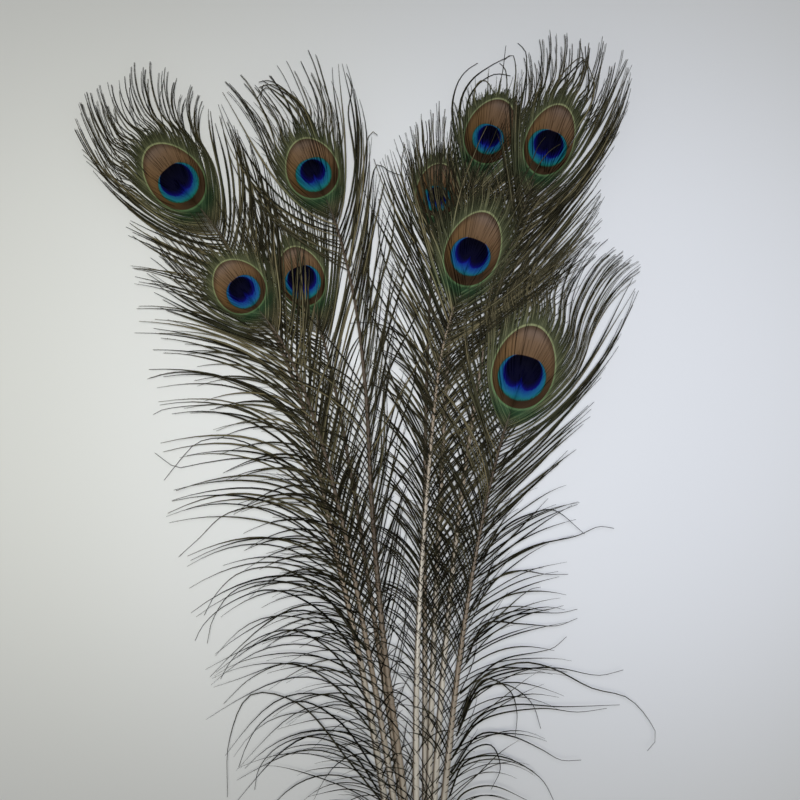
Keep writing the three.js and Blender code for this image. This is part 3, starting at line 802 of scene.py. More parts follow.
FEATHERS: tuple[FeatherPlan, ...] = (
    FeatherPlan(
        name="tucked_middle",
        quill_width=4.2,
        pale=0.9,
        route=((-6, -190), (0, 0), (1, 110), (1, 198), (1, 286), (3, 369), (6, 421), (8, 439)),
        eye=Eye(7.7, 441.1, -8, 7.7, 5.0, 12.1, 14.9, 4.4, 0.0, 0.3),
        vee=418,
        left=(
            (11, 36, -5, 15), (55, 36, -18, 61), (99, 34, -26, 110), (143, 30, -30, 165),
            (187, 27, -32, 220), (231, 25, -33, 270), (270, 23, -32, 314), (302, 22, -31, 352),
            (330, 22, -30, 385), (358, 24, -28, 415), (382, 28, -26, 443), (402, 34, -24, 463),
            (415, 42, -17, 469), (425, 44, -9, 477), (432, 26, -1, 486), (438, -2, 10, 493),
        ),
        right=(
            (11, 36, 3, 14), (38, 36, 6, 44), (77, 32, 10, 94), (121, 28, 14, 146), (165, 25, 19, 198),
            (209, 22, 24, 248), (253, 20, 29, 292), (297, 20, 34, 333), (336, 22, 37, 369),
            (369, 26, 40, 402), (396, 30, 42, 432), (415, 36, 41, 454), (425, 38, 36, 473),
            (432, 24, 25, 485), (438, -2, 10, 493),
        ),
        veil=1.0,
    ),
    FeatherPlan(
        name="inner_left",
        quill_width=4.4,
        pale=0.85,
        route=(
            (11, -186), (-4, 0), (-12, 110), (-25, 198), (-39, 286), (-50, 344), (-57, 371),
            (-65, 393),
        ),
        eye=Eye(-66.0, 394.9, 20, 9.9, 7.8, 12.7, 17.1, 3.3, 0.35, 0.3),
        vee=366,
        left=(
            (11, 36, -15, 15), (55, 42, -37, 58), (99, 42, -56, 103), (138, 38, -68, 146),
            (176, 34, -76, 190), (215, 30, -83, 237), (253, 28, -89, 286), (286, 27, -94, 327),
            (314, 28, -100, 360), (336, 32, -104, 385), (352, 42, -106, 403), (360, 52, -107, 415),
            (367, 58, -105, 425), (374, 54, -101, 435), (381, 42, -96, 442), (387, 24, -90, 447),
            (392, -2, -85, 450),
        ),
        right=(
            (11, 36, -6, 15), (44, 36, -3, 55), (94, 32, -3, 99), (143, 27, -5, 154),
            (187, 24, -9, 204), (226, 22, -13, 253), (264, 20, -18, 302), (297, 18, -24, 344),
            (324, 18, -29, 377), (345, 24, -35, 405), (354, 30, -38, 418), (362, 36, -41, 432),
            (370, 38, -48, 446), (378, 34, -58, 454), (386, 22, -72, 457), (392, -2, -85, 450),
        ),
        veil=0.62,
    ),
    FeatherPlan(
        name="upper_middle",
        quill_width=4.4,
        pale=1.0,
        route=((0, -178), (2, 0), (3, 110), (6, 198), (10, 286), (16, 380), (26, 443), (35, 471)),
        eye=Eye(35.8, 473.6, -22, 8.8, 6.0, 13.8, 18.7, 4.4, 0.35, 0.15),
        vee=448,
        left=(
            (11, 36, -3, 14), (55, 34, -12, 55), (99, 30, -16, 116), (143, 27, -19, 170),
            (187, 24, -20, 220), (231, 22, -18, 270), (275, 21, -15, 314), (314, 20, -13, 355),
            (346, 20, -9, 388), (380, 22, -5, 418), (404, 26, 1, 443), (424, 30, 7, 463),
            (437, 34, 15, 480), (447, 36, 16, 496), (455, 32, 21, 509), (463, 20, 32, 518),
            (470, -2, 48, 524),
        ),
        right=(
            (16, 36, 6, 19), (66, 34, 13, 72), (110, 30, 20, 124), (154, 26, 28, 176),
            (198, 23, 36, 226), (242, 21, 45, 272), (286, 19, 53, 316), (330, 19, 61, 360),
            (369, 20, 67, 399), (402, 24, 72, 432), (426, 28, 74, 462), (443, 32, 73, 484),
            (454, 30, 69, 502), (463, 18, 58, 520), (470, -2, 48, 524),
        ),
        strays=(
            ((28, 452), (19, 473), (16, 490), (19, 504), (24, 511), (30, 515)),
            ((29, 453), (21, 476), (21, 495), (27, 506), (38, 514), (48, 519)),
            ((29, 452), (24, 477), (25, 495), (31, 504), (40, 509), (48, 508)),
            ((30, 455), (31, 484), (28, 498), (31, 505), (35, 505), (40, 496)),
            ((31, 455), (47, 481), (50, 501), (51, 512), (49, 520), (45, 517)),
            ((32, 455), (50, 479), (55, 498), (57, 514), (56, 522), (52, 526)),
            ((31, 455), (45, 484), (46, 498), (46, 506), (45, 512), (42, 515)),
        ),
        fuzz=2.0,
        dense=(0.62, 0.82),
        dense_reach=110.0,
        fringe=0.22,
    ),
    FeatherPlan(
        name="outer_left",
        quill_width=4.7,
        pale=0.85,
        route=(
            (28, -176), (-6, 0), (-21, 110), (-35, 190), (-50, 256), (-65, 324), (-89, 382),
            (-118, 430), (-133, 447),
        ),
        eye=Eye(-134.2, 449.4, 40, 11.3, 8.9, 14.9, 20.9, 4.4, 0.1, 0.15),
        vee=422,
        left=(
            (11, 36, -24, 15), (55, 45, -56, 52), (88, 45, -76, 72), (121, 42, -103, 110),
            (154, 38, -111, 143), (187, 34, -120, 183), (220, 30, -128, 220), (248, 26, -138, 264),
            (275, 24, -146, 308), (302, 22, -150, 341), (333, 24, -156, 371), (363, 28, -160, 393),
            (391, 36, -163, 423), (404, 42, -163, 436), (412, 52, -176, 451), (418, 60, -186, 462),
            (424, 64, -191, 476), (430, 60, -191, 486), (436, 48, -186, 493), (442, 26, -181, 498),
            (447, -2, -176, 501),
        ),
        right=(
            (11, 36, -8, 16), (44, 36, -6, 61), (94, 34, -8, 110), (143, 30, -13, 170),
            (187, 28, -19, 226), (226, 26, -26, 275), (258, 24, -34, 314), (292, 21, -46, 362),
            (319, 18, -60, 404), (346, 17, -78, 446), (360, 26, -87, 462), (378, 38, -94, 470),
            (394, 46, -100, 476), (408, 48, -107, 483), (417, 46, -116, 487), (424, 46, -123, 494),
            (430, 44, -131, 506), (436, 38, -142, 511), (441, 26, -156, 513), (445, 12, -167, 508),
            (447, -2, -176, 501),
        ),
        strays=(
            ((-39, 242), (-68, 286), (-101, 308), (-123, 307), (-134, 296), (-142, 286)),
            ((-40, 250), (-68, 290), (-95, 298), (-123, 295), (-135, 293), (-147, 301)),
            ((-37, 226), (-62, 258), (-89, 271), (-109, 267), (-123, 254), (-134, 244)),
            ((-35, 198), (-57, 226), (-79, 238), (-101, 235), (-114, 223), (-120, 212)),
            ((-34, 187), (-57, 215), (-84, 226), (-109, 217), (-121, 206), (-125, 198)),
            ((-30, 165), (-51, 193), (-73, 204), (-95, 197), (-106, 186), (-111, 177)),
            ((-26, 127), (-46, 154), (-68, 165), (-89, 153), (-97, 140), (-101, 129)),
            ((-43, 267), (-73, 308), (-101, 326), (-125, 327), (-145, 324), (-148, 322)),
            ((-48, 280), (-76, 324), (-101, 338), (-123, 345), (-139, 345), (-150, 342)),
        ),
        loose_pitch=3.7,
        loose_width=1.02,
        fuzz=2.2,
        cling=0.78,
        ragged=0.5,
        fringe=0.9,
        curl=0.22,
    ),
    FeatherPlan(
        name="upper_right",
        quill_width=4.4,
        pale=1.0,
        route=((-13, -182), (1, 0), (6, 110), (13, 204), (23, 292), (37, 374), (57, 440), (67, 466)),
        eye=Eye(68.2, 468.6, -20, 10.7, 7.9, 13.2, 20.4, 4.4, 0.05, 0.25),
        vee=440,
        left=(
            (11, 36, -1, 14), (55, 32, -7, 61), (99, 28, -10, 116), (143, 25, -11, 170),
            (187, 22, -10, 226), (231, 20, -7, 275), (275, 19, -3, 319), (314, 19, 3, 360),
            (346, 19, 9, 396), (380, 21, 20, 429), (407, 22, 34, 462), (426, 24, 45, 488),
            (434, 34, 51, 506), (441, 42, 57, 520), (448, 38, 64, 528), (455, 26, 72, 533),
            (460, 14, 80, 531), (464, -2, 90, 528),
        ),
        right=(
            (33, 38, 8, 44), (77, 34, 16, 105), (121, 30, 27, 165), (160, 27, 38, 215),
            (198, 25, 49, 258), (237, 23, 61, 302), (275, 22, 73, 344), (314, 22, 85, 382),
            (346, 23, 95, 418), (374, 26, 101, 446), (396, 30, 104, 470), (414, 36, 111, 492),
            (424, 42, 114, 504), (433, 44, 114, 514), (442, 38, 109, 521), (450, 26, 103, 525),
            (458, 14, 97, 527), (464, -2, 90, 528),
        ),
        strays=(
            ((65, 457), (67, 484), (72, 502), (80, 513), (87, 518), (91, 514)),
            ((66, 457), (69, 483), (73, 501), (81, 510), (89, 517), (87, 506)),
            ((67, 455), (70, 481), (75, 497), (82, 508), (89, 516), (92, 510)),
            ((68, 455), (73, 479), (79, 495), (84, 505), (89, 514), (89, 524)),
            ((69, 454), (81, 479), (89, 493), (91, 504), (90, 513), (87, 518)),
            ((69, 454), (83, 477), (92, 492), (94, 503), (91, 512), (88, 516)),
            ((68, 455), (76, 480), (82, 495), (86, 505), (88, 515), (86, 526)),
        ),
        fuzz=2.0,
        dense=(0.8, 0.8),
        dense_reach=130.0,
        fringe=0.8,
        curl=-0.14,
    ),
    FeatherPlan(
        name="lower_left",
        quill_width=4.4,
        pale=0.85,
        route=(
            (22, -168), (-4, 0), (-16, 110), (-31, 198), (-45, 267), (-61, 324), (-78, 363),
            (-97, 388),
        ),
        eye=Eye(-98.5, 389.4, 40, 9.4, 6.9, 13.8, 16.0, 3.9, 0.9, 0.3),
        vee=367,
        left=(
            (11, 36, -19, 16), (55, 42, -41, 58), (99, 42, -65, 102), (138, 38, -81, 146),
            (176, 36, -89, 182), (215, 32, -95, 220), (253, 28, -102, 258), (286, 26, -111, 293),
            (314, 26, -119, 326), (336, 30, -131, 356), (352, 38, -141, 378), (360, 50, -150, 391),
            (366, 58, -155, 402), (371, 60, -155, 412), (376, 52, -150, 419), (381, 34, -143, 425),
            (387, -2, -135, 430),
        ),
        right=(
            (11, 36, -8, 16), (44, 36, -7, 58), (94, 34, -9, 102), (143, 30, -14, 151),
            (187, 28, -19, 201), (226, 26, -25, 250), (258, 24, -31, 294), (292, 24, -39, 332),
            (319, 24, -48, 363), (341, 36, -60, 398), (352, 42, -66, 412), (360, 46, -74, 424),
            (367, 46, -84, 434), (373, 44, -95, 441), (378, 36, -107, 442), (383, 22, -121, 437),
            (387, -2, -135, 430),
        ),
        strays=(
            ((-27, 148), (-51, 176), (-73, 186), (-94, 178), (-105, 168), (-109, 164)),
            ((-24, 116), (-40, 138), (-62, 146), (-80, 140), (-90, 128), (-92, 117)),
            ((-22, 110), (-40, 132), (-68, 164), (-94, 169), (-106, 144), (-107, 113)),
            ((-31, 193), (-51, 220), (-79, 231), (-103, 226), (-115, 210), (-118, 197)),
        ),
        loose_width=0.98,
        fuzz=2.0,
        dense=(0.35, 0.35),
        cling=0.75,
        ragged=0.6,
        fringe=0.75,
    ),
    FeatherPlan(
        name="upper_left",
        quill_width=4.6,
        pale=0.72,
        route=(
            (16, -184), (-2, 0), (-10, 110), (-21, 193), (-28, 272), (-31, 330), (-37, 382),
            (-49, 430), (-59, 452),
        ),
        eye=Eye(-60.0, 453.8, 20, 9.9, 6.6, 14.3, 17.1, 3.3, 0.1, 0.35),
        vee=428,
        left=(
            (11, 36, -17, 16), (55, 42, -39, 61), (99, 42, -59, 110), (138, 38, -72, 148),
            (176, 34, -80, 190), (215, 30, -85, 234), (253, 27, -90, 280), (286, 25, -93, 324),
            (319, 25, -95, 360), (352, 28, -97, 391), (376, 34, -104, 430), (394, 46, -108, 458),
            (405, 54, -100, 472), (413, 60, -106, 482), (419, 62, -114, 488), (426, 58, -112, 497),
            (433, 46, -106, 503), (440, 32, -99, 505), (446, 16, -94, 506), (450, -2, -88, 506),
        ),
        right=(
            (11, 36, -3, 16), (44, 36, 2, 66), (88, 32, 3, 121), (132, 26, 1, 176), (170, 24, -3, 226),
            (209, 21, -7, 275), (242, 19, -10, 314), (275, 17, -14, 352), (308, 15, -18, 391),
            (341, 15, -21, 426), (369, 16, -24, 454), (386, 22, -24, 462), (400, 28, -28, 476),
            (412, 34, -36, 500), (419, 38, -41, 515), (426, 38, -48, 516), (433, 34, -57, 519),
            (440, 26, -68, 518), (446, 14, -79, 512), (450, -2, -88, 506),
        ),
        strays=(
            ((-40, 403), (-36, 435), (-32, 462), (-30, 474), (-27, 477), (-25, 475)),
            ((-38, 385), (-31, 422), (-29, 444), (-25, 459), (-18, 455), (-12, 453)),
            ((-36, 373), (-29, 413), (-24, 437), (-21, 450)),
            ((-56, 458), (-61, 476), (-68, 491), (-77, 501), (-85, 505), (-90, 504)),
            ((-54, 457), (-59, 474), (-66, 491), (-75, 499), (-84, 503), (-90, 501)),
            ((-58, 459), (-63, 476), (-69, 488), (-78, 497), (-86, 501), (-91, 495)),
            ((-53, 455), (-57, 472), (-64, 488), (-74, 497), (-83, 502), (-88, 505)),
            ((-59, 459), (-65, 475), (-73, 488), (-81, 497), (-87, 503), (-89, 495)),
            ((-39, 418), (-36, 446), (-38, 468), (-41, 488), (-39, 502), (-42, 509)),
            ((-30, 320), (-16, 352), (-4, 376), (4, 398), (6, 416)),
            ((-29, 300), (-14, 330), (-2, 352), (8, 372), (12, 396)),
            ((-30, 335), (-18, 372), (-10, 400), (-6, 424), (-8, 446)),
            ((-34, 360), (-24, 392), (-17, 418), (-16, 438), (-20, 456)),
            ((-27, 262), (-10, 290), (4, 306), (18, 314)),
            ((-28, 285), (-12, 318), (-4, 346), (-6, 372)),
        ),
        fuzz=1.4,
        dense=(0.5, 0.4),
        tangle=1.6,
        fringe=0.7,
        curl=-0.12,
    ),
    FeatherPlan(
        name="centre",
        quill_width=4.6,
        pale=1.2,
        route=((5, -172), (-2, 0), (-4, 110), (-3, 198), (3, 292), (10, 355), (18, 385), (25, 406)),
        eye=Eye(25.9, 408.7, -22, 11.0, 8.7, 14.9, 21.5, 4.4, 0.8, 0.45),
        vee=380,
        left=(
            (11, 36, -7, 14), (55, 38, -21, 61), (99, 36, -30, 110), (143, 32, -35, 160),
            (182, 29, -36, 204), (220, 27, -36, 248), (253, 25, -35, 286), (286, 24, -33, 324),
            (314, 23, -30, 358), (338, 24, -27, 388), (358, 30, -22, 425), (366, 38, -18, 446),
            (373, 42, -16, 460), (380, 42, -10, 464), (387, 38, 2, 470), (393, 32, 14, 468),
            (399, 20, 29, 461), (404, -2, 44, 458),
        ),
        right=(
            (11, 36, -1, 14), (44, 38, 4, 52), (88, 35, 13, 107), (132, 31, 24, 165),
            (170, 28, 35, 220), (209, 26, 45, 267), (242, 26, 54, 305), (275, 27, 64, 338),
            (308, 30, 75, 371), (333, 34, 86, 397), (352, 42, 95, 419), (362, 50, 100, 432),
            (371, 54, 99, 444), (379, 52, 92, 455), (387, 46, 79, 453), (394, 32, 66, 451),
            (400, 18, 54, 453), (404, -2, 44, 458),
        ),
        strays=(
            ((21, 391), (16, 418), (21, 446), (27, 462), (31, 472), (35, 480)),
            ((23, 391), (20, 418), (27, 446), (32, 461), (37, 470), (41, 480)),
            ((24, 391), (42, 424), (52, 446), (59, 459), (63, 469), (67, 474)),
            ((14, 372), (2, 405), (-12, 428), (-22, 448), (-27, 462)),
            ((12, 362), (-2, 392), (-16, 412), (-26, 430), (-33, 446)),
            ((10, 350), (-6, 378), (-18, 398), (-24, 418), (-24, 440)),
            ((8, 338), (-8, 362), (-22, 384), (-32, 404), (-34, 428)),
            ((6, 322), (-8, 348), (-22, 366), (-34, 388), (-40, 410)),
            ((16, 378), (6, 410), (-6, 436), (-12, 456), (-10, 470)),
            ((4, 300), (-10, 326), (-20, 350), (-26, 376), (-22, 400)),
            ((9, 345), (-10, 364), (-26, 372), (-40, 372)),
            ((5, 312), (-12, 330), (-28, 338), (-42, 334)),
            ((17, 381), (9, 412), (2, 438), (-1, 458), (2, 472)),
            ((18, 384), (11, 414), (6, 438), (4, 456), (8, 472)),
            ((19, 386), (13, 415), (9, 440), (9, 458), (14, 470)),
            ((20, 388), (15, 416), (13, 440), (15, 458), (20, 470)),
            ((15, 376), (4, 408), (-3, 434), (-6, 452), (-4, 468)),
            ((13, 368), (1, 400), (-7, 428), (-10, 448), (-7, 462)),
            ((19, 387), (12, 420), (3, 444), (-6, 462)),
            ((16, 380), (10, 408), (0, 430), (-10, 444), (-16, 458)),
            ((18, 382), (12, 410), (8, 430), (2, 450), (-2, 466)),
            ((20, 387), (16, 410), (9, 432), (6, 450), (10, 464)),
            ((24, 391), (45, 424), (56, 444), (63, 458), (69, 466), (75, 470)),
        ),
        fuzz=1.6,
        dense=(0.3, 0.72),
        dense_reach=80.0,
        tangle=1.8,
        curl=0.12,
    ),
    FeatherPlan(
        name="lower_right",
        quill_width=4.8,
        pale=0.95,
        route=((-20, -188), (2, 0), (11, 110), (21, 198), (32, 263), (42, 305), (53, 340)),
        eye=Eye(53.9, 342.7, -15, 13.2, 10.5, 17.1, 23.7, 5.5, 0.45, 0.4),
        vee=313,
        left=(
            (11, 36, 1, 14), (55, 34, -5, 61), (94, 30, -8, 110), (132, 27, -10, 160),
            (165, 25, -11, 198), (198, 23, -9, 237), (226, 22, -7, 272), (250, 21, -4, 305),
            (272, 22, 1, 336), (289, 24, 6, 360), (301, 40, 24, 392), (308, 46, 32, 402),
            (315, 48, 42, 410), (321, 44, 52, 415), (327, 36, 60, 418), (333, 24, 67, 419),
            (340, -2, 76, 419),
        ),
        right=(
            (16, 34, 9, 30), (50, 36, 27, 66), (82, 38, 44, 102), (116, 42, 61, 133), (143, 45, 72, 160),
            (165, 46, 78, 184), (184, 45, 82, 206), (204, 42, 75, 226), (220, 38, 79, 249),
            (237, 36, 85, 272), (253, 36, 82, 296), (270, 36, 90, 322), (284, 38, 97, 343),
            (295, 42, 107, 363), (302, 48, 119, 385), (309, 54, 120, 398), (315, 54, 119, 406),
            (321, 48, 113, 411), (327, 36, 105, 415), (333, 22, 93, 417), (337, 12, 84, 418),
            (340, -2, 76, 419),
        ),
        strays=(
            ((31, 242), (45, 261), (59, 268), (71, 270), (88, 257)),
            ((30, 234), (59, 250), (84, 256), (96, 261), (104, 260)),
            ((24, 195), (45, 211), (59, 214), (75, 214), (84, 216)),
            ((23, 187), (34, 208), (53, 208), (73, 207), (84, 211)),
            ((27, 215), (42, 234), (53, 237), (67, 235), (79, 235)),
            ((25, 198), (42, 213), (52, 222), (59, 227), (64, 228)),
            ((20, 170), (42, 188), (64, 193), (71, 195), (78, 201)),
            (
                (19, 153), (31, 178), (53, 187), (70, 184), (92, 173),
                (111, 168), (122, 157), (127, 146), (122, 139),
            ),
            ((19, 150), (31, 175), (53, 183), (73, 184), (96, 180), (109, 183)),
            ((16, 136), (31, 158), (48, 164), (75, 163), (107, 164)),
            ((15, 134), (31, 155), (64, 162), (84, 160), (100, 162)),
            ((19, 154), (34, 178), (47, 172), (51, 160), (50, 146)),
            ((18, 147), (31, 172), (45, 175), (59, 165), (64, 151)),
            ((14, 123), (27, 140), (37, 142), (42, 130), (37, 118)),
            ((14, 114), (23, 133), (42, 136), (64, 124), (72, 110)),
            ((13, 103), (22, 116), (37, 120), (59, 111)),
            ((15, 127), (31, 148), (48, 147), (64, 140), (75, 134), (86, 134)),
        ),
        loose_pitch=2.8,
        loose_width=0.88,
        dense=(0.2, 0.15),
        ragged=0.6,
        tangle=2.0,
        curl=0.22,
    ),
)


@dataclass
class Strands:
    """Barbs as rows of stations: every array has one row a barb and one column a station."""

    centre: np.ndarray
    width: np.ndarray
    lift: np.ndarray
    tone: np.ndarray
    roll: np.ndarray

    @staticmethod
    def joined(parts: Sequence["Strands"]) -> "Strands":
        """One set of strands from several with the same number of stations."""
        names = ("centre", "width", "lift", "tone", "roll")
        return Strands(*(np.concatenate([getattr(p, n) for p in parts]) for n in names))

    def tangents(self) -> np.ndarray:
        """The direction along each barb at each station, of unit length."""
        step = np.gradient(self.centre, axis=1)
        return step / np.maximum(np.linalg.norm(step, axis=-1, keepdims=True), 1e-9)


class Feather:
    """One feather: its shaft's rod and its two meshes of barbs."""

    shaft_sides: int = 16
    shaft_rings: int = 110
    line_samples: int = 900
    # The cut end of a quill, in shares of its radius and of its length
    quill_wall: float = 0.28
    quill_hollow: float = 0.004
    loose_stations: int = 13
    eye_stations: int = 22
    guide_samples: int = 1600
    root_offset_share: float = 0.12
    even_bow: float = 0.6
    # How far apart the eye's barbs are where they pass the oval's edge, in mm
    eye_pitch: float = 0.42
    # The share of the low barbs between the shafts that have worn off
    worn_share: float = 0.38
    # Neighbours cling to each other in twos, threes and fours
    new_group_chance: float = 0.38
    short_share: float = 0.22
    # How freely barbs point, in degrees: all of them, and the low ones besides
    swing: float = 2.2
    low_swing: float = 15.0
    # The share of loose barbs that work their way up, and how many layers they can rise
    freed_share: float = 0.8
    most_layers: float = 4.5
    # For each mesh of barbs, the barbules on a millimetre of barb and the longest one's length
    barbules: dict[str, tuple[float, float]] = {"eye_barbs": (0.9, 0.8), "loose_barbs": (0.4, 1.5)}

    def __init__(self, plan: FeatherPlan, level: int) -> None:
        """Works out the shaft's line.

        Args:
            plan: The feather's plan.
            level: Its place in the pile, 0 for the lowest.
        """
        self.plan = plan
        self.level = level
        self.random = np.random.default_rng(100 + level)
        line = resampled(smooth_line(plan.route, 60), self.line_samples)
        self.line = line
        self.reach = np.r_[0, np.cumsum(np.linalg.norm(np.diff(line, axis=0), axis=1))]
        self.direction = np.gradient(line, axis=0)
        self.direction /= np.linalg.norm(self.direction, axis=1, keepdims=True)

    def shaft_width(self, y: np.ndarray, from_root: np.ndarray) -> np.ndarray:
        """The shaft's width: widest at the crossing, thin at the eye, narrower at the root.

        Args:
            y: Places along the bunch, in mm.
            from_root: The same places as distances from the cut end, in mm.

        Returns:
            The width at each, in mm.
        """
        eye_y = self.plan.route[-1][1]
        rise = np.clip(y / eye_y, 0, 1)
        grown = self.plan.quill_width + (SHAFT_TIP_WIDTH - self.plan.quill_width) * rise
        root = smoothstep(-QUILL_TAPER_LENGTH, QUILL_TAPER_LENGTH, from_root)
        return grown * (QUILL_TAPER_SHARE + (1 - QUILL_TAPER_SHARE) * (2 * root - 1))

    def floor_of(self, y: np.ndarray) -> np.ndarray:
        """The height of this feather's plane in the pile at y, in mm."""
        return self.level * pile_pitch(y)

    def on_shaft(self, y: np.ndarray) -> tuple[np.ndarray, np.ndarray, np.ndarray]:
        """The shaft at some heights.

        Args:
            y: Places along the bunch, in mm.

        Returns:
            The shaft's middle, its direction and its width at each.
        """
        middle = np.stack([np.interp(y, self.line[:, 1], self.line[:, 0]), y], -1)
        heading = np.stack([np.interp(y, self.line[:, 1], self.direction[:, i]) for i in (0, 1)], -1)
        from_root = np.interp(y, self.line[:, 1], self.reach)
        return middle, heading, self.shaft_width(y, from_root)

    # -- the shaft --------------------------------------------------------------------------

    def build_shaft(self, material: bpy.types.Material) -> bpy.types.Object:
        """The shaft, as a rod that is bent to its route.

        Args:
            material: The shaft's finish.

        Returns:
            The finished object.
        """
        rod = bmesh.new()
        bmesh.ops.create_cone(
            rod, cap_ends=True, cap_tris=False, segments=self.shaft_sides,
            radius1=1.0, radius2=1.0, depth=1.0,
        )
        long_edges = [e for e in rod.edges if abs(e.verts[0].co.z - e.verts[1].co.z) > 0.5]
        bmesh.ops.subdivide_edges(rod, edges=long_edges, cuts=self.shaft_rings, use_grid_fill=False)
        ends = [f for f in rod.faces if len(f.verts) == self.shaft_sides]
        # The quill's cut end is a rim round a shallow dry hollow
        root_end = [f for f in ends if f.calc_center_median().z < 0]
        bmesh.ops.inset_region(rod, faces=root_end, thickness=self.quill_wall, depth=0.0)
        hollow = {v for f in root_end for v in f.verts}
        bmesh.ops.translate(rod, verts=list(hollow), vec=(0, 0, self.quill_hollow))
        growth_and_side_shade = rod.verts.layers.float_vector.new("growth_and_side_shade")
        total = self.reach[-1]
        for vert in rod.verts:
            share = min(max(vert.co.z + 0.5, 0.0), 1.0)
            # Rings crowd towards both ends, where the width changes fastest
            share = 0.5 - 0.5 * math.cos(math.pi * share) * (0.55 + 0.45 * abs(math.cos(math.pi * share)))
            across, up = vert.co.x, vert.co.y
            # The left flank is the darker one: painted shade, as on a shaded side, on top of the brown
            # that both flanks have where barbs attach
            vert[growth_and_side_shade] = (share / self.plan.pale, abs(across - 0.3), up)
            distance = share * total
            x, y = (np.interp(distance, self.reach, self.line[:, i]) for i in (0, 1))
            heading = Vector([np.interp(distance, self.reach, self.direction[:, i]) for i in (0, 1)])
            heading.normalize()
            width = float(self.shaft_width(np.array(y), np.array(distance)))
            width *= 0.25 + 0.75 * float(smoothstep(0, 9.0, np.array(total - distance)))
            width *= 0.72 + 0.28 * float(smoothstep(0, 2.5, np.array(distance)))
            height = width * SHAFT_HEIGHT_SHARE
            base = float(self.floor_of(np.array(y)))
            side = across * width / 2
            top = base + (up + 1) * height / 2
            vert.co = Vector((x + side * heading.y, y - side * heading.x, top)) * MM
        rod.normal_update()
        bmesh.ops.recalc_face_normals(rod, faces=rod.faces)
        mesh = bpy.data.meshes.new(f"{self.plan.name}_shaft_rod")
        rod.to_mesh(mesh)
        rod.free()
        for polygon in mesh.polygons:
            polygon.use_smooth = len(polygon.vertices) == 4
        mesh.materials.append(material)
        return self._placed(mesh, f"{self.plan.name}_shaft")

    # -- the barbs --------------------------------------------------------------------------

    def _guide_table(self, rows: Sequence[GuideRow], count: int) -> np.ndarray:
        """Guide rows filled in between, with as many rows from each guide to the next.

        Args:
            rows: The guide rows, from the lowest up.
            count: How many rows are wanted.

        Returns:
            That many rows.
        """
        own = np.array(rows, float)
        fine = np.linspace(0, len(own) - 1, count)
        return np.stack([np.interp(fine, np.arange(len(own)), column) for column in own.T], 1)

    def _curve(
        self,
        rows: np.ndarray,
        side: Side,
        bow: np.ndarray,
        stations: int,
        stop: float | np.ndarray = 1.0,
    ) -> np.ndarray:
        """Barbs in plan, as curves that leave the shaft straight and, at the eye, fan out from it.

        Args:
            rows: A guide row for each barb.
            side: The side of the shaft.
            bow: For each barb, how far it keeps to the direction that it leaves in.
            stations: Points on each barb.
            stop: The share of each curve that is kept.

        Returns:
            The points, one row a barb.
        """
        middle, heading, width = self.on_shaft(rows[:, 0])
        outward = np.stack([-heading[:, 1], heading[:, 0]], -1) * side.value
        leave = np.radians(rows[:, 1])[:, None]
        start = middle + outward * (width * self.root_offset_share)[:, None]
        direction = heading * np.cos(leave) + outward * np.sin(leave)
        tip = rows[:, 2:4]
        length = np.linalg.norm(tip - start, axis=1, keepdims=True)
        control = start + direction * bow[:, None] * length
        leaving, arriving = start + (control - start) * 2 / 3, tip + (control - tip) * 2 / 3
        eye, vee = self.plan.eye, self.plan.vee
        out = tip - np.array([eye.x, eye.y])
        out /= np.maximum(np.linalg.norm(out, axis=1, keepdims=True), 1e-6)
        fan = 0.7 * smoothstep(vee - 12, vee + 2, rows[:, 0])[:, None]
        arriving = arriving + (tip - out * length * 0.33 - arriving) * fan
        t = (np.linspace(0, 1, stations) * np.reshape(stop, (-1, 1)))[..., None]
        near_shaft = start[:, None] * (1 - t) ** 3 + leaving[:, None] * 3 * t * (1 - t) ** 2
        return near_shaft + arriving[:, None] * 3 * t**2 * (1 - t) + tip[:, None] * t**3

    def _spread(self, side: Side) -> tuple[np.ndarray, np.ndarray]:
        """Sets the barbs of one side evenly between the guides.

        Args:
            side: The side of the shaft.

        Returns:
            A guide row for each barb, and for each whether it belongs to the eye.
        """
        plan = self.plan
        table = self._guide_table(plan.left if side is Side.LEFT else plan.right, self.guide_samples)
        curves = self._curve(table, side, np.full(len(table), self.even_bow), 11)
        near, far = (np.linalg.norm(np.diff(curves[:, i], axis=0), axis=1) for i in (4, 7))
        apart = np.r_[0, np.maximum(near, far * 0.75)]
        climbed = np.r_[0, np.diff(table[:, 0])]
        closing = smoothstep(plan.vee - plan.dense_reach, plan.vee, table[:, 0])
        opening = smoothstep(240, 130, table[:, 0])
        dense = plan.dense[0 if side is Side.LEFT else 1]
        pitch = plan.loose_pitch * (1 - dense * closing + 0.5 * opening)
        in_eye = table[:, 0] >= plan.vee
        measure = np.cumsum(np.where(in_eye, apart / self.eye_pitch, climbed / pitch))
        count = int(measure[-1])
        at = np.arange(count) + self.random.uniform(-0.2, 0.2, count)
        index = np.clip(np.interp(at, measure, np.arange(len(table))), 0, len(table) - 1)
        rows = np.stack([np.interp(index, np.arange(len(table)), c) for c in table.T], 1)
        return rows, rows[:, 0] >= plan.vee

    def _loose(self, rows: np.ndarray, side: Side) -> Strands:
        """The barbs below the eye, each with a length, a bend and a lean of its own.

        Args:
            rows: A guide row for each barb.
            side: The side of the shaft.

        Returns:
            The strands.
        """
        random, plan = self.random, self.plan
        stations = self.loose_stations
        rows = rows[~self._in_the_way(rows, side)]
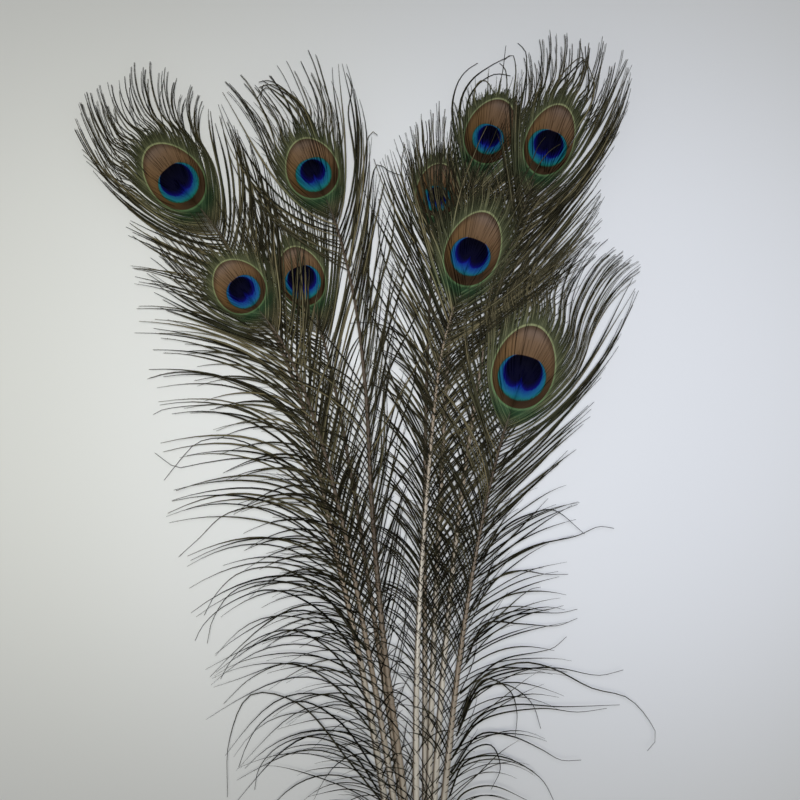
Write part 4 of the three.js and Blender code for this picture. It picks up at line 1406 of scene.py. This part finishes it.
        # Down between the shafts many barbs have worn off
        inner = (rows[:, 0] < 190) & (np.abs(rows[:, 2] - 2) < 34)
        rows = rows[~(inner & (random.random(len(rows)) < self.worn_share))]
        count = len(rows)
        start = self.on_shaft(rows[:, 0])[0]
        low = smoothstep(260, 60, rows[:, 0])
        wild = 1 - 0.75 * smoothstep(plan.vee - 90, plan.vee - 10, rows[:, 0])
        group = np.cumsum(random.random(count) < self.new_group_chance)
        for member in np.unique(group):
            mine = group == member
            pull = random.uniform(plan.cling, 0.95) * wild[mine].mean()
            rows[mine, 2:4] += (rows[mine, 2:4].mean(0) - rows[mine, 2:4]) * pull
        short = (random.random(count) < self.short_share) * random.uniform(0.1, 0.45, count)
        shorter = (np.abs(random.normal(0, 0.1, count)) + short) * wild * plan.ragged
        share = np.clip(1 - shorter, 0.35, 1.04)
        swing = random.normal(0, self.swing * plan.tangle, count) * wild
        swing = np.radians(swing + random.normal(0, self.low_swing, count) * low)
        vector = (rows[:, 2:4] - start) * share[:, None]
        cos, sin = np.cos(swing), np.sin(swing)
        rows[:, 2] = start[:, 0] + vector[:, 0] * cos - vector[:, 1] * sin
        rows[:, 3] = start[:, 1] + vector[:, 0] * sin + vector[:, 1] * cos
        rows[:, 1] += random.normal(0, 2.5, count)
        bow = 0.55 + 0.12 * low + random.normal(0, 0.05, count)
        plan_line = self._curve(rows, side, bow, stations)
        length = np.linalg.norm(rows[:, 2:4] - start, axis=1)
        t = np.linspace(0, 1, stations)[None]
        wave = np.sin(t * random.uniform(4, 9, count)[:, None] + random.uniform(0, 6.3, count)[:, None])
        size = (0.008 + 0.05 * low) * length * random.uniform(0.2, 1.2, count)
        normal = np.stack([-vector[:, 1], vector[:, 0]], -1)
        normal /= np.maximum(np.linalg.norm(normal, axis=1, keepdims=True), 1e-6)
        plan_line = plan_line + (wave * t**1.5 * size[:, None])[..., None] * normal[:, None]
        # Barbs grow stouter towards the eye
        stout = 0.72 + 0.33 * smoothstep(150, 280, rows[:, 0])
        stout += 0.15 * smoothstep(plan.vee - 70, plan.vee, rows[:, 0])
        girth = (plan.loose_width * stout * random.uniform(0.7, 1.15, count))[:, None]
        profile = (0.75 + 0.25 * smoothstep(0, 0.15, t)) * (1 - 0.78 * smoothstep(0.55, 1.0, t))
        return self._strands(plan_line, girth * profile, 0.42, 14.0, self._rise(plan_line))

    def _in_the_way(self, rows: np.ndarray, side: Side) -> np.ndarray:
        """Finds barbs that would lie slantwise over the eye of a feather below.

        Args:
            rows: A guide row for each barb.
            side: The side of the shaft.

        Returns:
            For each barb, whether it is left out. A few are kept.
        """
        line = self._curve(rows, side, np.full(len(rows), self.even_bow), self.loose_stations)
        span = np.abs(line[:, -1] - line[:, 0])
        slant = span[:, 0] > 0.5 * span[:, 1]
        left_out = np.zeros(len(rows), bool)
        for lower in FEATHERS[: self.level]:
            oval = lower.eye.places(line)[1]
            crossing = (np.hypot(oval[..., 0], oval[..., 1]) < 1.05).any(1)
            kept = self.random.random(len(rows)) < np.where(slant, lower.veil**8, lower.veil)
            left_out |= crossing & ~kept
        return left_out

    def _rise(self, plan_line: np.ndarray) -> np.ndarray:
        """How far loose barbs lie above their own layer, because springy barbs interleave.

        Args:
            plan_line: Points in plan, in mm, one row a barb.

        Returns:
            The rise of each barb in mm. It is nothing for barbs that run below an upper eye.
        """
        count = len(plan_line)
        below_an_eye = np.zeros(count, bool)
        for upper in FEATHERS[self.level + 1 :]:
            oval = upper.eye.places(plan_line)[1]
            below_an_eye |= (np.hypot(oval[..., 0], oval[..., 1]) < 1.2).any(1)
        layers = self.random.uniform(0, min(self.most_layers, len(FEATHERS) - self.level - 0.5), count)
        freed = (self.random.random(count) < self.freed_share) & ~below_an_eye
        return np.where(freed, layers * pile_pitch(plan_line[:, -1, 1]), 0.0)

    def _eye(self, rows: np.ndarray, side: Side) -> Strands:
        """The barbs that make the eye: flat and close over the oval, loose beyond it.

        Args:
            rows: A guide row for each barb.
            side: The side of the shaft.

        Returns:
            The strands.
        """
        random, stations = self.random, self.eye_stations
        count = len(rows)
        rows = rows.copy()
        start = self.on_shaft(rows[:, 0])[0]
        vector = rows[:, 2:4] - start
        # Beyond the oval two or three neighbours cling together, and each bundle bends as one
        bundle = np.searchsorted(np.cumsum(random.integers(2, 4, count)), np.arange(count), side="right")
        size = int(bundle[-1]) + 1
        bundle_share = random.normal(0, 0.06, size)[bundle]
        bundle_bend = random.normal(0, 0.01, size)[bundle]
        share = 1 + bundle_share - np.abs(random.normal(0, 0.04, count))
        share -= (random.random(count) < 0.1) * random.uniform(0, 0.25, count)
        rows[:, 2:4] = start + vector * np.clip(share, 0.55, 1.04)[:, None]
        bow = np.full(count, self.even_bow)
        plan_line = self._curve(rows, side, bow, stations)
        t = np.linspace(0, 1, stations)[None]
        oval = self.plan.eye.places(plan_line)[1]
        edge = random.uniform(1.08, 1.35, (count, 1))
        past = (np.hypot(oval[..., 0], oval[..., 1]) > edge) & (t > 0.45)
        first = np.where(past.any(1), t[0, past.argmax(1)], 1.0)
        stop = np.where(random.random(count) < self.plan.fringe, 1.0, first)
        plan_line = self._curve(rows, side, bow, stations, stop)
        oval = self.plan.eye.places(plan_line)[1]
        reach = np.hypot(oval[..., 0], oval[..., 1])
        freed = smoothstep(1.05, 1.9, reach) * smoothstep(0.2, 0.7, t)
        middle = np.stack([plan_line[bundle == b].mean(0) for b in range(size)])[bundle]
        cling = freed * random.uniform(0.7, 0.95, size)[bundle][:, None]
        plan_line = plan_line + (middle - plan_line) * cling[..., None]
        length = np.linalg.norm(vector, axis=1)
        normal = np.stack([-vector[:, 1], vector[:, 0]], -1)
        normal /= np.maximum(np.linalg.norm(normal, axis=1, keepdims=True), 1e-6)
        bend = (bundle_bend + random.normal(0, 0.003, count))[:, None] * length[:, None] * freed**1.3
        wave = np.sin(t * 14 + random.uniform(0, 6.3, size)[bundle][:, None]) * 0.2 * freed
        sway = freed * t
        curled = self.plan.curl * length[:, None] * (sway**4 - 0.95 * sway**2)
        plan_line = plan_line + (bend + wave - curled)[..., None] * normal[:, None]
        knots = 1 + 0.3 * freed * random.uniform(-1, 1, (count, stations))
        slim = 0.62 * smoothstep(1.02, 1.2, reach) + 0.14 * smoothstep(1.2, 1.9, reach)
        width = (1.15 - 1.15 * slim) * knots * (1 - 0.4 * smoothstep(0.8, 1.0, t))
        width *= 0.6 + 0.4 * smoothstep(0, 0.12, t)
        return self._strands(plan_line, width, 0.05, 0.8, None, 0.05)

    def _strays(self) -> Optional[Strands]:
        """The long barbs that have sprung away on curves of their own, if the feather has any."""
        if not self.plan.strays:
            return None
        lines = [resampled(smooth_line(s, 12), self.loose_stations * 2 - 1) for s in self.plan.strays]
        plan_line = np.stack(lines)
        t = np.linspace(0, 1, plan_line.shape[1])[None]
        girth = 0.95 + 0.5 * smoothstep(300, 420, plan_line[:, :1, 1])
        width = girth * (1 - 0.72 * smoothstep(0.3, 1.0, t))
        return self._strands(plan_line, width, 0.5, 8.0)

    def _strands(
        self,
        plan_line: np.ndarray,
        width: np.ndarray,
        ridge: float,
        roll: float,
        rise: Optional[np.ndarray] = None,
        lean: float = 0.5,
    ) -> Strands:
        """Lays barbs in this feather's plane of the pile.

        Args:
            plan_line: Points in plan, in mm, one row a barb.
            width: The width at each point, in mm.
            ridge: The ridge's height as a share of the width.
            roll: How far barbs are turned about their own line, in degrees.
            rise: How far each lies above the feather's own layer, in mm.
            lean: How far tips typically stand above or below their neighbours, in mm.

        Returns:
            The strands.
        """
        random = self.random
        count, stations = width.shape
        t = np.linspace(0, 1, stations)[None]
        y = plan_line[..., 1]
        from_root = np.interp(y[:, :1], self.line[:, 1], self.reach)
        # A barb leaves the top of the shaft, and comes down beside it
        top = self.shaft_width(y[:, :1], from_root) * SHAFT_HEIGHT_SHARE - 0.35
        settle = (1 - smoothstep(0.04, 0.3, t)) * top
        order = np.linspace(0, 0.5, count)[:, None]
        own = lean * (random.normal(0, 1, count)[:, None] * t + random.uniform(0, 0.15, count)[:, None])
        height = self.floor_of(y) + settle + 0.35 + (order + own) * smoothstep(0, 0.2, t)
        if rise is not None:
            height = height + rise[:, None] * smoothstep(0.08, 0.4, t)
        centre = np.concatenate([plan_line, np.maximum(height, LOWEST_BARB)[..., None]], -1)
        turned = np.radians(random.normal(0, roll, count))[:, None] * np.ones_like(width)
        # The low barbs are the darkest
        tone = random.random(count) * (0.6 + 0.4 * smoothstep(130, 320, y[:, 0]))
        return Strands(centre, width, width * ridge, tone, turned)

    def build_barbs(self, material: bpy.types.Material) -> list[bpy.types.Object]:
        """Both meshes of barbs.

        Args:
            material: The barbs' finish.

        Returns:
            The finished objects.
        """
        loose, eye = [], []
        for side in Side:
            rows, in_eye = self._spread(side)
            loose.append(self._loose(rows[~in_eye], side))
            eye.append(self._eye(rows[in_eye], side))
        made = {"eye_barbs": [Strands.joined(eye)], "loose_barbs": [Strands.joined(loose)]}
        strays = self._strays()
        if strays is not None:
            made["loose_barbs"].append(strays)
        objects = []
        for part, groups in made.items():
            per_mm, longest = self.barbules[part]
            builder = StrandMesh(self.plan.eye, self.random)
            for group in groups:
                builder.add_strands(group)
                builder.add_barbules(group, per_mm * self.plan.fuzz, longest)
            name = f"{self.plan.name}_{part}"
            mesh = builder.mesh(f"{name}_joined")
            mesh.materials.append(material)
            objects.append(self._placed(mesh, f"{self.plan.name}_vane", name))
        return objects

    def _placed(
        self, mesh: bpy.types.Mesh, node: str, name: str = "",
    ) -> bpy.types.Object:
        """Makes a mesh a piece of the part.

        Args:
            mesh: The piece's mesh, with its place in it.
            node: The CAD node that it stands for.
            name: The piece's name, if it differs from the mesh's.

        Returns:
            The object.
        """
        piece = bpy.data.objects.new(name or mesh.name, mesh)
        bpy.context.scene.collection.objects.link(piece)
        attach(piece, "root")
        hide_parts(node)
        return piece


class StrandMesh:
    """Collects closed three-sided strands and their barbules, and joins them in one mesh."""

    # A barbule's root: half its length on the barb, its place across the barb, and its height
    root_half: float = 0.11
    root_across: float = 0.3
    root_low: float = 0.06
    root_high: float = 0.12
    # The least and the most that a barbule leans away from its barb, in degrees
    barbule_lean: tuple[float, float] = (14, 42)

    def __init__(self, eye: Eye, random: np.random.Generator) -> None:
        """Starts empty.

        Args:
            eye: The feather's eye, which the finish needs to know about.
            random: The feather's random numbers.
        """
        self.eye = eye
        self.random = random
        self.points: list[np.ndarray] = []
        self.marks: list[np.ndarray] = []
        self.quads: list[np.ndarray] = []
        self.triangles: list[np.ndarray] = []
        self.undersides: list[np.ndarray] = []
        self.count = 0

    def add_strands(self, strands: Strands) -> None:
        """Adds barbs: at each station a left edge, a right edge and a ridge.

        Args:
            strands: The barbs.
        """
        tangent = strands.tangents()
        flat = np.stack([tangent[..., 1], -tangent[..., 0], np.zeros_like(tangent[..., 0])], -1)
        flat /= np.maximum(np.linalg.norm(flat, axis=-1, keepdims=True), 1e-9)
        up = np.cross(flat, tangent)
        cos, sin = np.cos(strands.roll)[..., None], np.sin(strands.roll)[..., None]
        across, raised = flat * cos + up * sin, up * cos - flat * sin
        half = strands.width[..., None] / 2
        corners = np.stack(
            [
                strands.centre - across * half,
                strands.centre + across * half,
                strands.centre + raised * strands.lift[..., None],
            ],
            2,
        )
        count, stations = strands.width.shape
        along = np.broadcast_to(np.linspace(0, 1, stations)[None, :, None], (count, stations, 3))
        # Painted highlight, together with the pale ramus, along each barb's ridge: fainter on the low,
        # bare barbs
        painted_ridge_shine = 0.6 + 0.4 * smoothstep(BARE_BELOW_Y, DRESSED_ABOVE_Y, strands.centre[:, 0, 1])
        ridge = np.array([0.0, 0.0, 1.0]) * np.broadcast_to(painted_ridge_shine[:, None, None], (count, stations, 3))
        tone = np.broadcast_to(strands.tone[:, None, None], (count, stations, 3))
        index = self.count + np.arange(count * stations * 3).reshape(count, stations, 3)
        for i, j in ((0, 1), (1, 2), (2, 0)):
            quad = np.stack([index[:, :-1, i], index[:, 1:, i], index[:, 1:, j], index[:, :-1, j]], -1)
            self.quads.append(quad.reshape(-1, 4))
            self.undersides.append(np.full(quad.shape[0] * quad.shape[1], (i, j) == (0, 1)))
        self.triangles.append(index[:, 0, [0, 1, 2]])
        self.triangles.append(index[:, -1, [0, 2, 1]])
        self._keep(corners, np.stack([along, ridge, tone], -1))

    def add_barbules(self, strands: Strands, per_mm: float, longest: float) -> None:
        """Adds barbules: fine spikes along both sides of each barb, leaning towards its tip.

        Args:
            strands: The barbs that they grow on.
            per_mm: How many there are on a millimetre of barb.
            longest: The length of the longest ones, in mm.
        """
        random = self.random
        stations = strands.width.shape[1]
        length = np.linalg.norm(np.diff(strands.centre, axis=1), axis=-1).sum(1)
        dressed = 0.25 + 0.75 * smoothstep(BARE_BELOW_Y, DRESSED_ABOVE_Y, strands.centre[:, 0, 1])
        number = random.poisson(length * per_mm * dressed)
        owner = np.repeat(np.arange(len(number)), number)
        at = random.uniform(0.06, 0.99, len(owner))
        spot = strands.centre[owner, np.rint(at * (stations - 1)).astype(int), :2]
        oval = self.eye.places(spot)[1]
        # Over the oval they lie too close to show
        seen = np.hypot(oval[:, 0], oval[:, 1]) > 1.0
        owner, at = owner[seen], at[seen]
        place = at * (stations - 1)
        low = np.minimum(place.astype(int), stations - 2)
        part = (place - low)[:, None]
        tangent = strands.tangents()
        root = strands.centre[owner, low] * (1 - part) + strands.centre[owner, low + 1] * part
        heading = tangent[owner, low] * (1 - part) + tangent[owner, low + 1] * part
        part = part[:, 0]
        girth = strands.width[owner, low] * (1 - part) + strands.width[owner, low + 1] * part
        side = np.where(random.random(len(owner)) < 0.5, -1.0, 1.0)
        lean = np.radians(random.uniform(*self.barbule_lean, len(owner))) * side
        cos, sin = np.cos(lean), np.sin(lean)
        aim = np.stack(
            [
                heading[:, 0] * cos + heading[:, 1] * sin,
                heading[:, 1] * cos - heading[:, 0] * sin,
                heading[:, 2] + random.uniform(-0.05, 0.15, len(owner)),
            ],
            -1,
        )
        reach = random.uniform(0.5, 1.0, len(owner)) * longest * (1 - 0.35 * at)
        across = np.stack([heading[:, 1], -heading[:, 0], np.zeros(len(owner))], -1) * side[:, None]
        foot = root + across * (girth * self.root_across)[:, None] + np.array([0, 0, self.root_low])
        raised = foot + np.array([0, 0, self.root_high])
        ahead = heading * self.root_half
        corners = np.stack([foot - ahead, foot + ahead, raised, foot + aim * reach[:, None]], 1)
        # A spike points out of the plane of its three root corners; the order makes it face out
        outward = np.einsum(
            "ij,ij->i", np.cross(corners[:, 1] - corners[:, 0], corners[:, 2] - corners[:, 0]),
            corners[:, 3] - corners[:, 0],
        )
        swap = outward > 0
        corners[swap] = corners[swap][:, [1, 0, 2, 3]]
        index = self.count + np.arange(len(owner) * 4).reshape(-1, 4)
        for face in ((0, 1, 2), (0, 3, 1), (1, 3, 2), (2, 3, 0)):
            self.triangles.append(index[:, face])
        tone = np.clip(strands.tone[owner] + random.normal(0, 0.2, len(owner)), 0, 1)
        one_each = np.stack([at, np.full(len(owner), 0.3), tone], -1)
        self._keep(corners, np.repeat(one_each[:, None], 4, 1))

    def _keep(self, corners: np.ndarray, marks: np.ndarray) -> None:
        """Stores points, and what the finish reads at them.

        Args:
            corners: Points in mm, with the coordinates on the last axis.
            marks: For each, its share along the barb, its nearness to the ridge, and the barb's tone.
        """
        self.points.append(corners.reshape(-1, 3))
        self.marks.append(marks.reshape(-1, 3))
        self.count += self.points[-1].shape[0]

    def mesh(self, name: str) -> bpy.types.Mesh:
        """Joins everything.

        Args:
            name: The mesh's name.

        Returns:
            The mesh, with its attributes and a map seen from above.
        """
        points, marks = np.concatenate(self.points), np.concatenate(self.marks)
        quads, triangles = np.concatenate(self.quads), np.concatenate(self.triangles)
        corners = np.concatenate([quads.ravel(), triangles.ravel()]).astype(np.int32)
        sizes = np.concatenate([np.full(len(quads), 4), np.full(len(triangles), 3)])
        starts = (np.cumsum(sizes) - sizes).astype(np.int32)
        mesh = bpy.data.meshes.new(name)
        mesh.vertices.add(len(points))
        mesh.vertices.foreach_set("co", (points * MM).astype(np.float32).ravel())
        mesh.loops.add(len(corners))
        mesh.loops.foreach_set("vertex_index", corners)
        mesh.polygons.add(len(sizes))
        mesh.polygons.foreach_set("loop_start", starts)
        mesh.update(calc_edges=True)
        disc, oval = self.eye.places(points[:, :2])
        for attribute, values in (("strand", marks), ("eye_disc", disc), ("eye_oval", oval)):
            layer = mesh.attributes.new(attribute, "FLOAT_VECTOR", "POINT")
            layer.data.foreach_set("vector", values.astype(np.float32).ravel())
        notch = mesh.attributes.new("eye_notch", "FLOAT", "POINT")
        notch.data.foreach_set("value", np.full(len(points), self.eye.notch, np.float32))
        # Flat undersides keep the ridged tops from shading as round wires
        sharp = mesh.attributes.new("sharp_face", "BOOLEAN", "FACE")
        flat = np.concatenate([*self.undersides, np.ones(len(triangles), bool)])
        sharp.data.foreach_set("value", flat)
        low, high = points[:, :2].min(0), points[:, :2].max(0)
        seen = (points[corners, :2] - low) / (high - low)
        layer = mesh.uv_layers.new(name="OFBake", do_init=False)
        layer.uv.foreach_set("vector", seen.astype(np.float32).ravel())
        return mesh


# ---------------------------------------------------------------------------------------------
# Studio
# ---------------------------------------------------------------------------------------------


@dataclass(frozen=True)
class SoftLight:
    """A soft spotlight close to the camera's axis, unseen by it.

    Places and sizes are in metres, the cone in degrees and the power in watts.
    """

    name: str
    place: tuple[float, float, float]
    aim: tuple[float, float, float]
    radius: float
    cone: float
    power: float
    colour: str


@dataclass(frozen=True)
class Studio:
    """The pale floor, the soft light and the camera, which looks straight down. Metres."""

    view_x: float = -0.01265
    view_y: float = 0.330
    view_width: float = 0.440
    camera_height: float = 3.0
    sensor: float = 36.0
    floor_size: float = 60.0
    lights: tuple[SoftLight, ...] = (
        SoftLight(
            "soft_light_left", place=(-0.07, 0.4, 2.6), aim=(-0.18, 0.34, 0.0),
            radius=0.12, cone=12.0, power=106.0, colour="#fffff3",
        ),
        SoftLight(
            "soft_light_right", place=(0.05, 0.4, 2.6), aim=(0.102, 0.333, 0.0),
            radius=0.12, cone=13.0, power=158.0, colour="#e6ebff",
        ),
    )
    even_power: float = 0.93
    even_angle: float = 4.0
    even_colour: str = "#fffbf3"
    world_colour: str = "#e6e9ee"
    world_strength: float = 0.26

    def build_floor(self) -> bpy.types.Object:
        """The floor that the bunch lies on.

        Returns:
            The floor.
        """
        board = bmesh.new()
        bmesh.ops.create_grid(board, x_segments=8, y_segments=8, size=self.floor_size / 2)
        mesh = bpy.data.meshes.new("floor_board")
        board.to_mesh(mesh)
        board.free()
        mesh.materials.append(PaintedBoard().material())
        floor = bpy.data.objects.new("floor", mesh)
        bpy.context.scene.collection.objects.link(floor)
        return floor

    def build_lights(self) -> None:
        """The soft lights and the pale surroundings."""
        for soft in self.lights:
            lamp = bpy.data.lights.new(soft.name, "SPOT")
            lamp.shadow_soft_size = soft.radius
            lamp.spot_size = math.radians(soft.cone)
            lamp.spot_blend = 1.0
            lamp.energy = soft.power
            lamp.color = linear(soft.colour)[:3]
            box = bpy.data.objects.new(soft.name, lamp)
            box.location = soft.place
            towards = Vector(soft.aim) - Vector(soft.place)
            box.rotation_euler = towards.to_track_quat("-Z", "Y").to_euler()
            box.visible_camera = False
            bpy.context.scene.collection.objects.link(box)
        lamp = bpy.data.lights.new("even_light_from_above", "SUN")
        lamp.angle = math.radians(self.even_angle)
        lamp.energy = self.even_power
        lamp.color = linear(self.even_colour)[:3]
        bpy.context.scene.collection.objects.link(bpy.data.objects.new(lamp.name, lamp))
        world = bpy.data.worlds.new("pale_room")
        world.use_nodes = True
        background = world.node_tree.nodes["Background"]
        background.inputs["Color"].default_value = linear(self.world_colour)
        background.inputs["Strength"].default_value = self.world_strength
        bpy.context.scene.world = world

    def build_camera(self) -> None:
        """A long lens, so that the pile's height shifts nothing."""
        data = bpy.data.cameras.new("camera_above")
        data.lens = self.sensor * self.camera_height / self.view_width
        data.sensor_width = self.sensor
        data.clip_end = 200.0
        camera = bpy.data.objects.new("camera_above", data)
        camera.location = (self.view_x, self.view_y, self.camera_height)
        bpy.context.scene.collection.objects.link(camera)
        bpy.context.scene.camera = camera
        bpy.context.scene.view_settings.view_transform = "Standard"


def main() -> None:
    """Builds the studio and the nine feathers."""
    logging.basicConfig(level=logging.INFO, format="%(name)s: %(message)s")
    studio = Studio()
    studio.build_floor()
    studio.build_lights()
    studio.build_camera()
    shaft_finish = ShaftKeratin().material()
    barb_finish = BarbKeratin().material()
    total = 0
    for level, plan in enumerate(FEATHERS):
        feather = Feather(plan, level)
        pieces = [feather.build_shaft(shaft_finish), *feather.build_barbs(barb_finish)]
        for piece in pieces:
            triangles = sum(len(p.vertices) - 2 for p in piece.data.polygons)
            total += triangles
            LOG.info("%s: %d triangles", piece.name, triangles)
    LOG.info("all pieces: %d triangles", total)


if __name__ == "__main__":
    main()
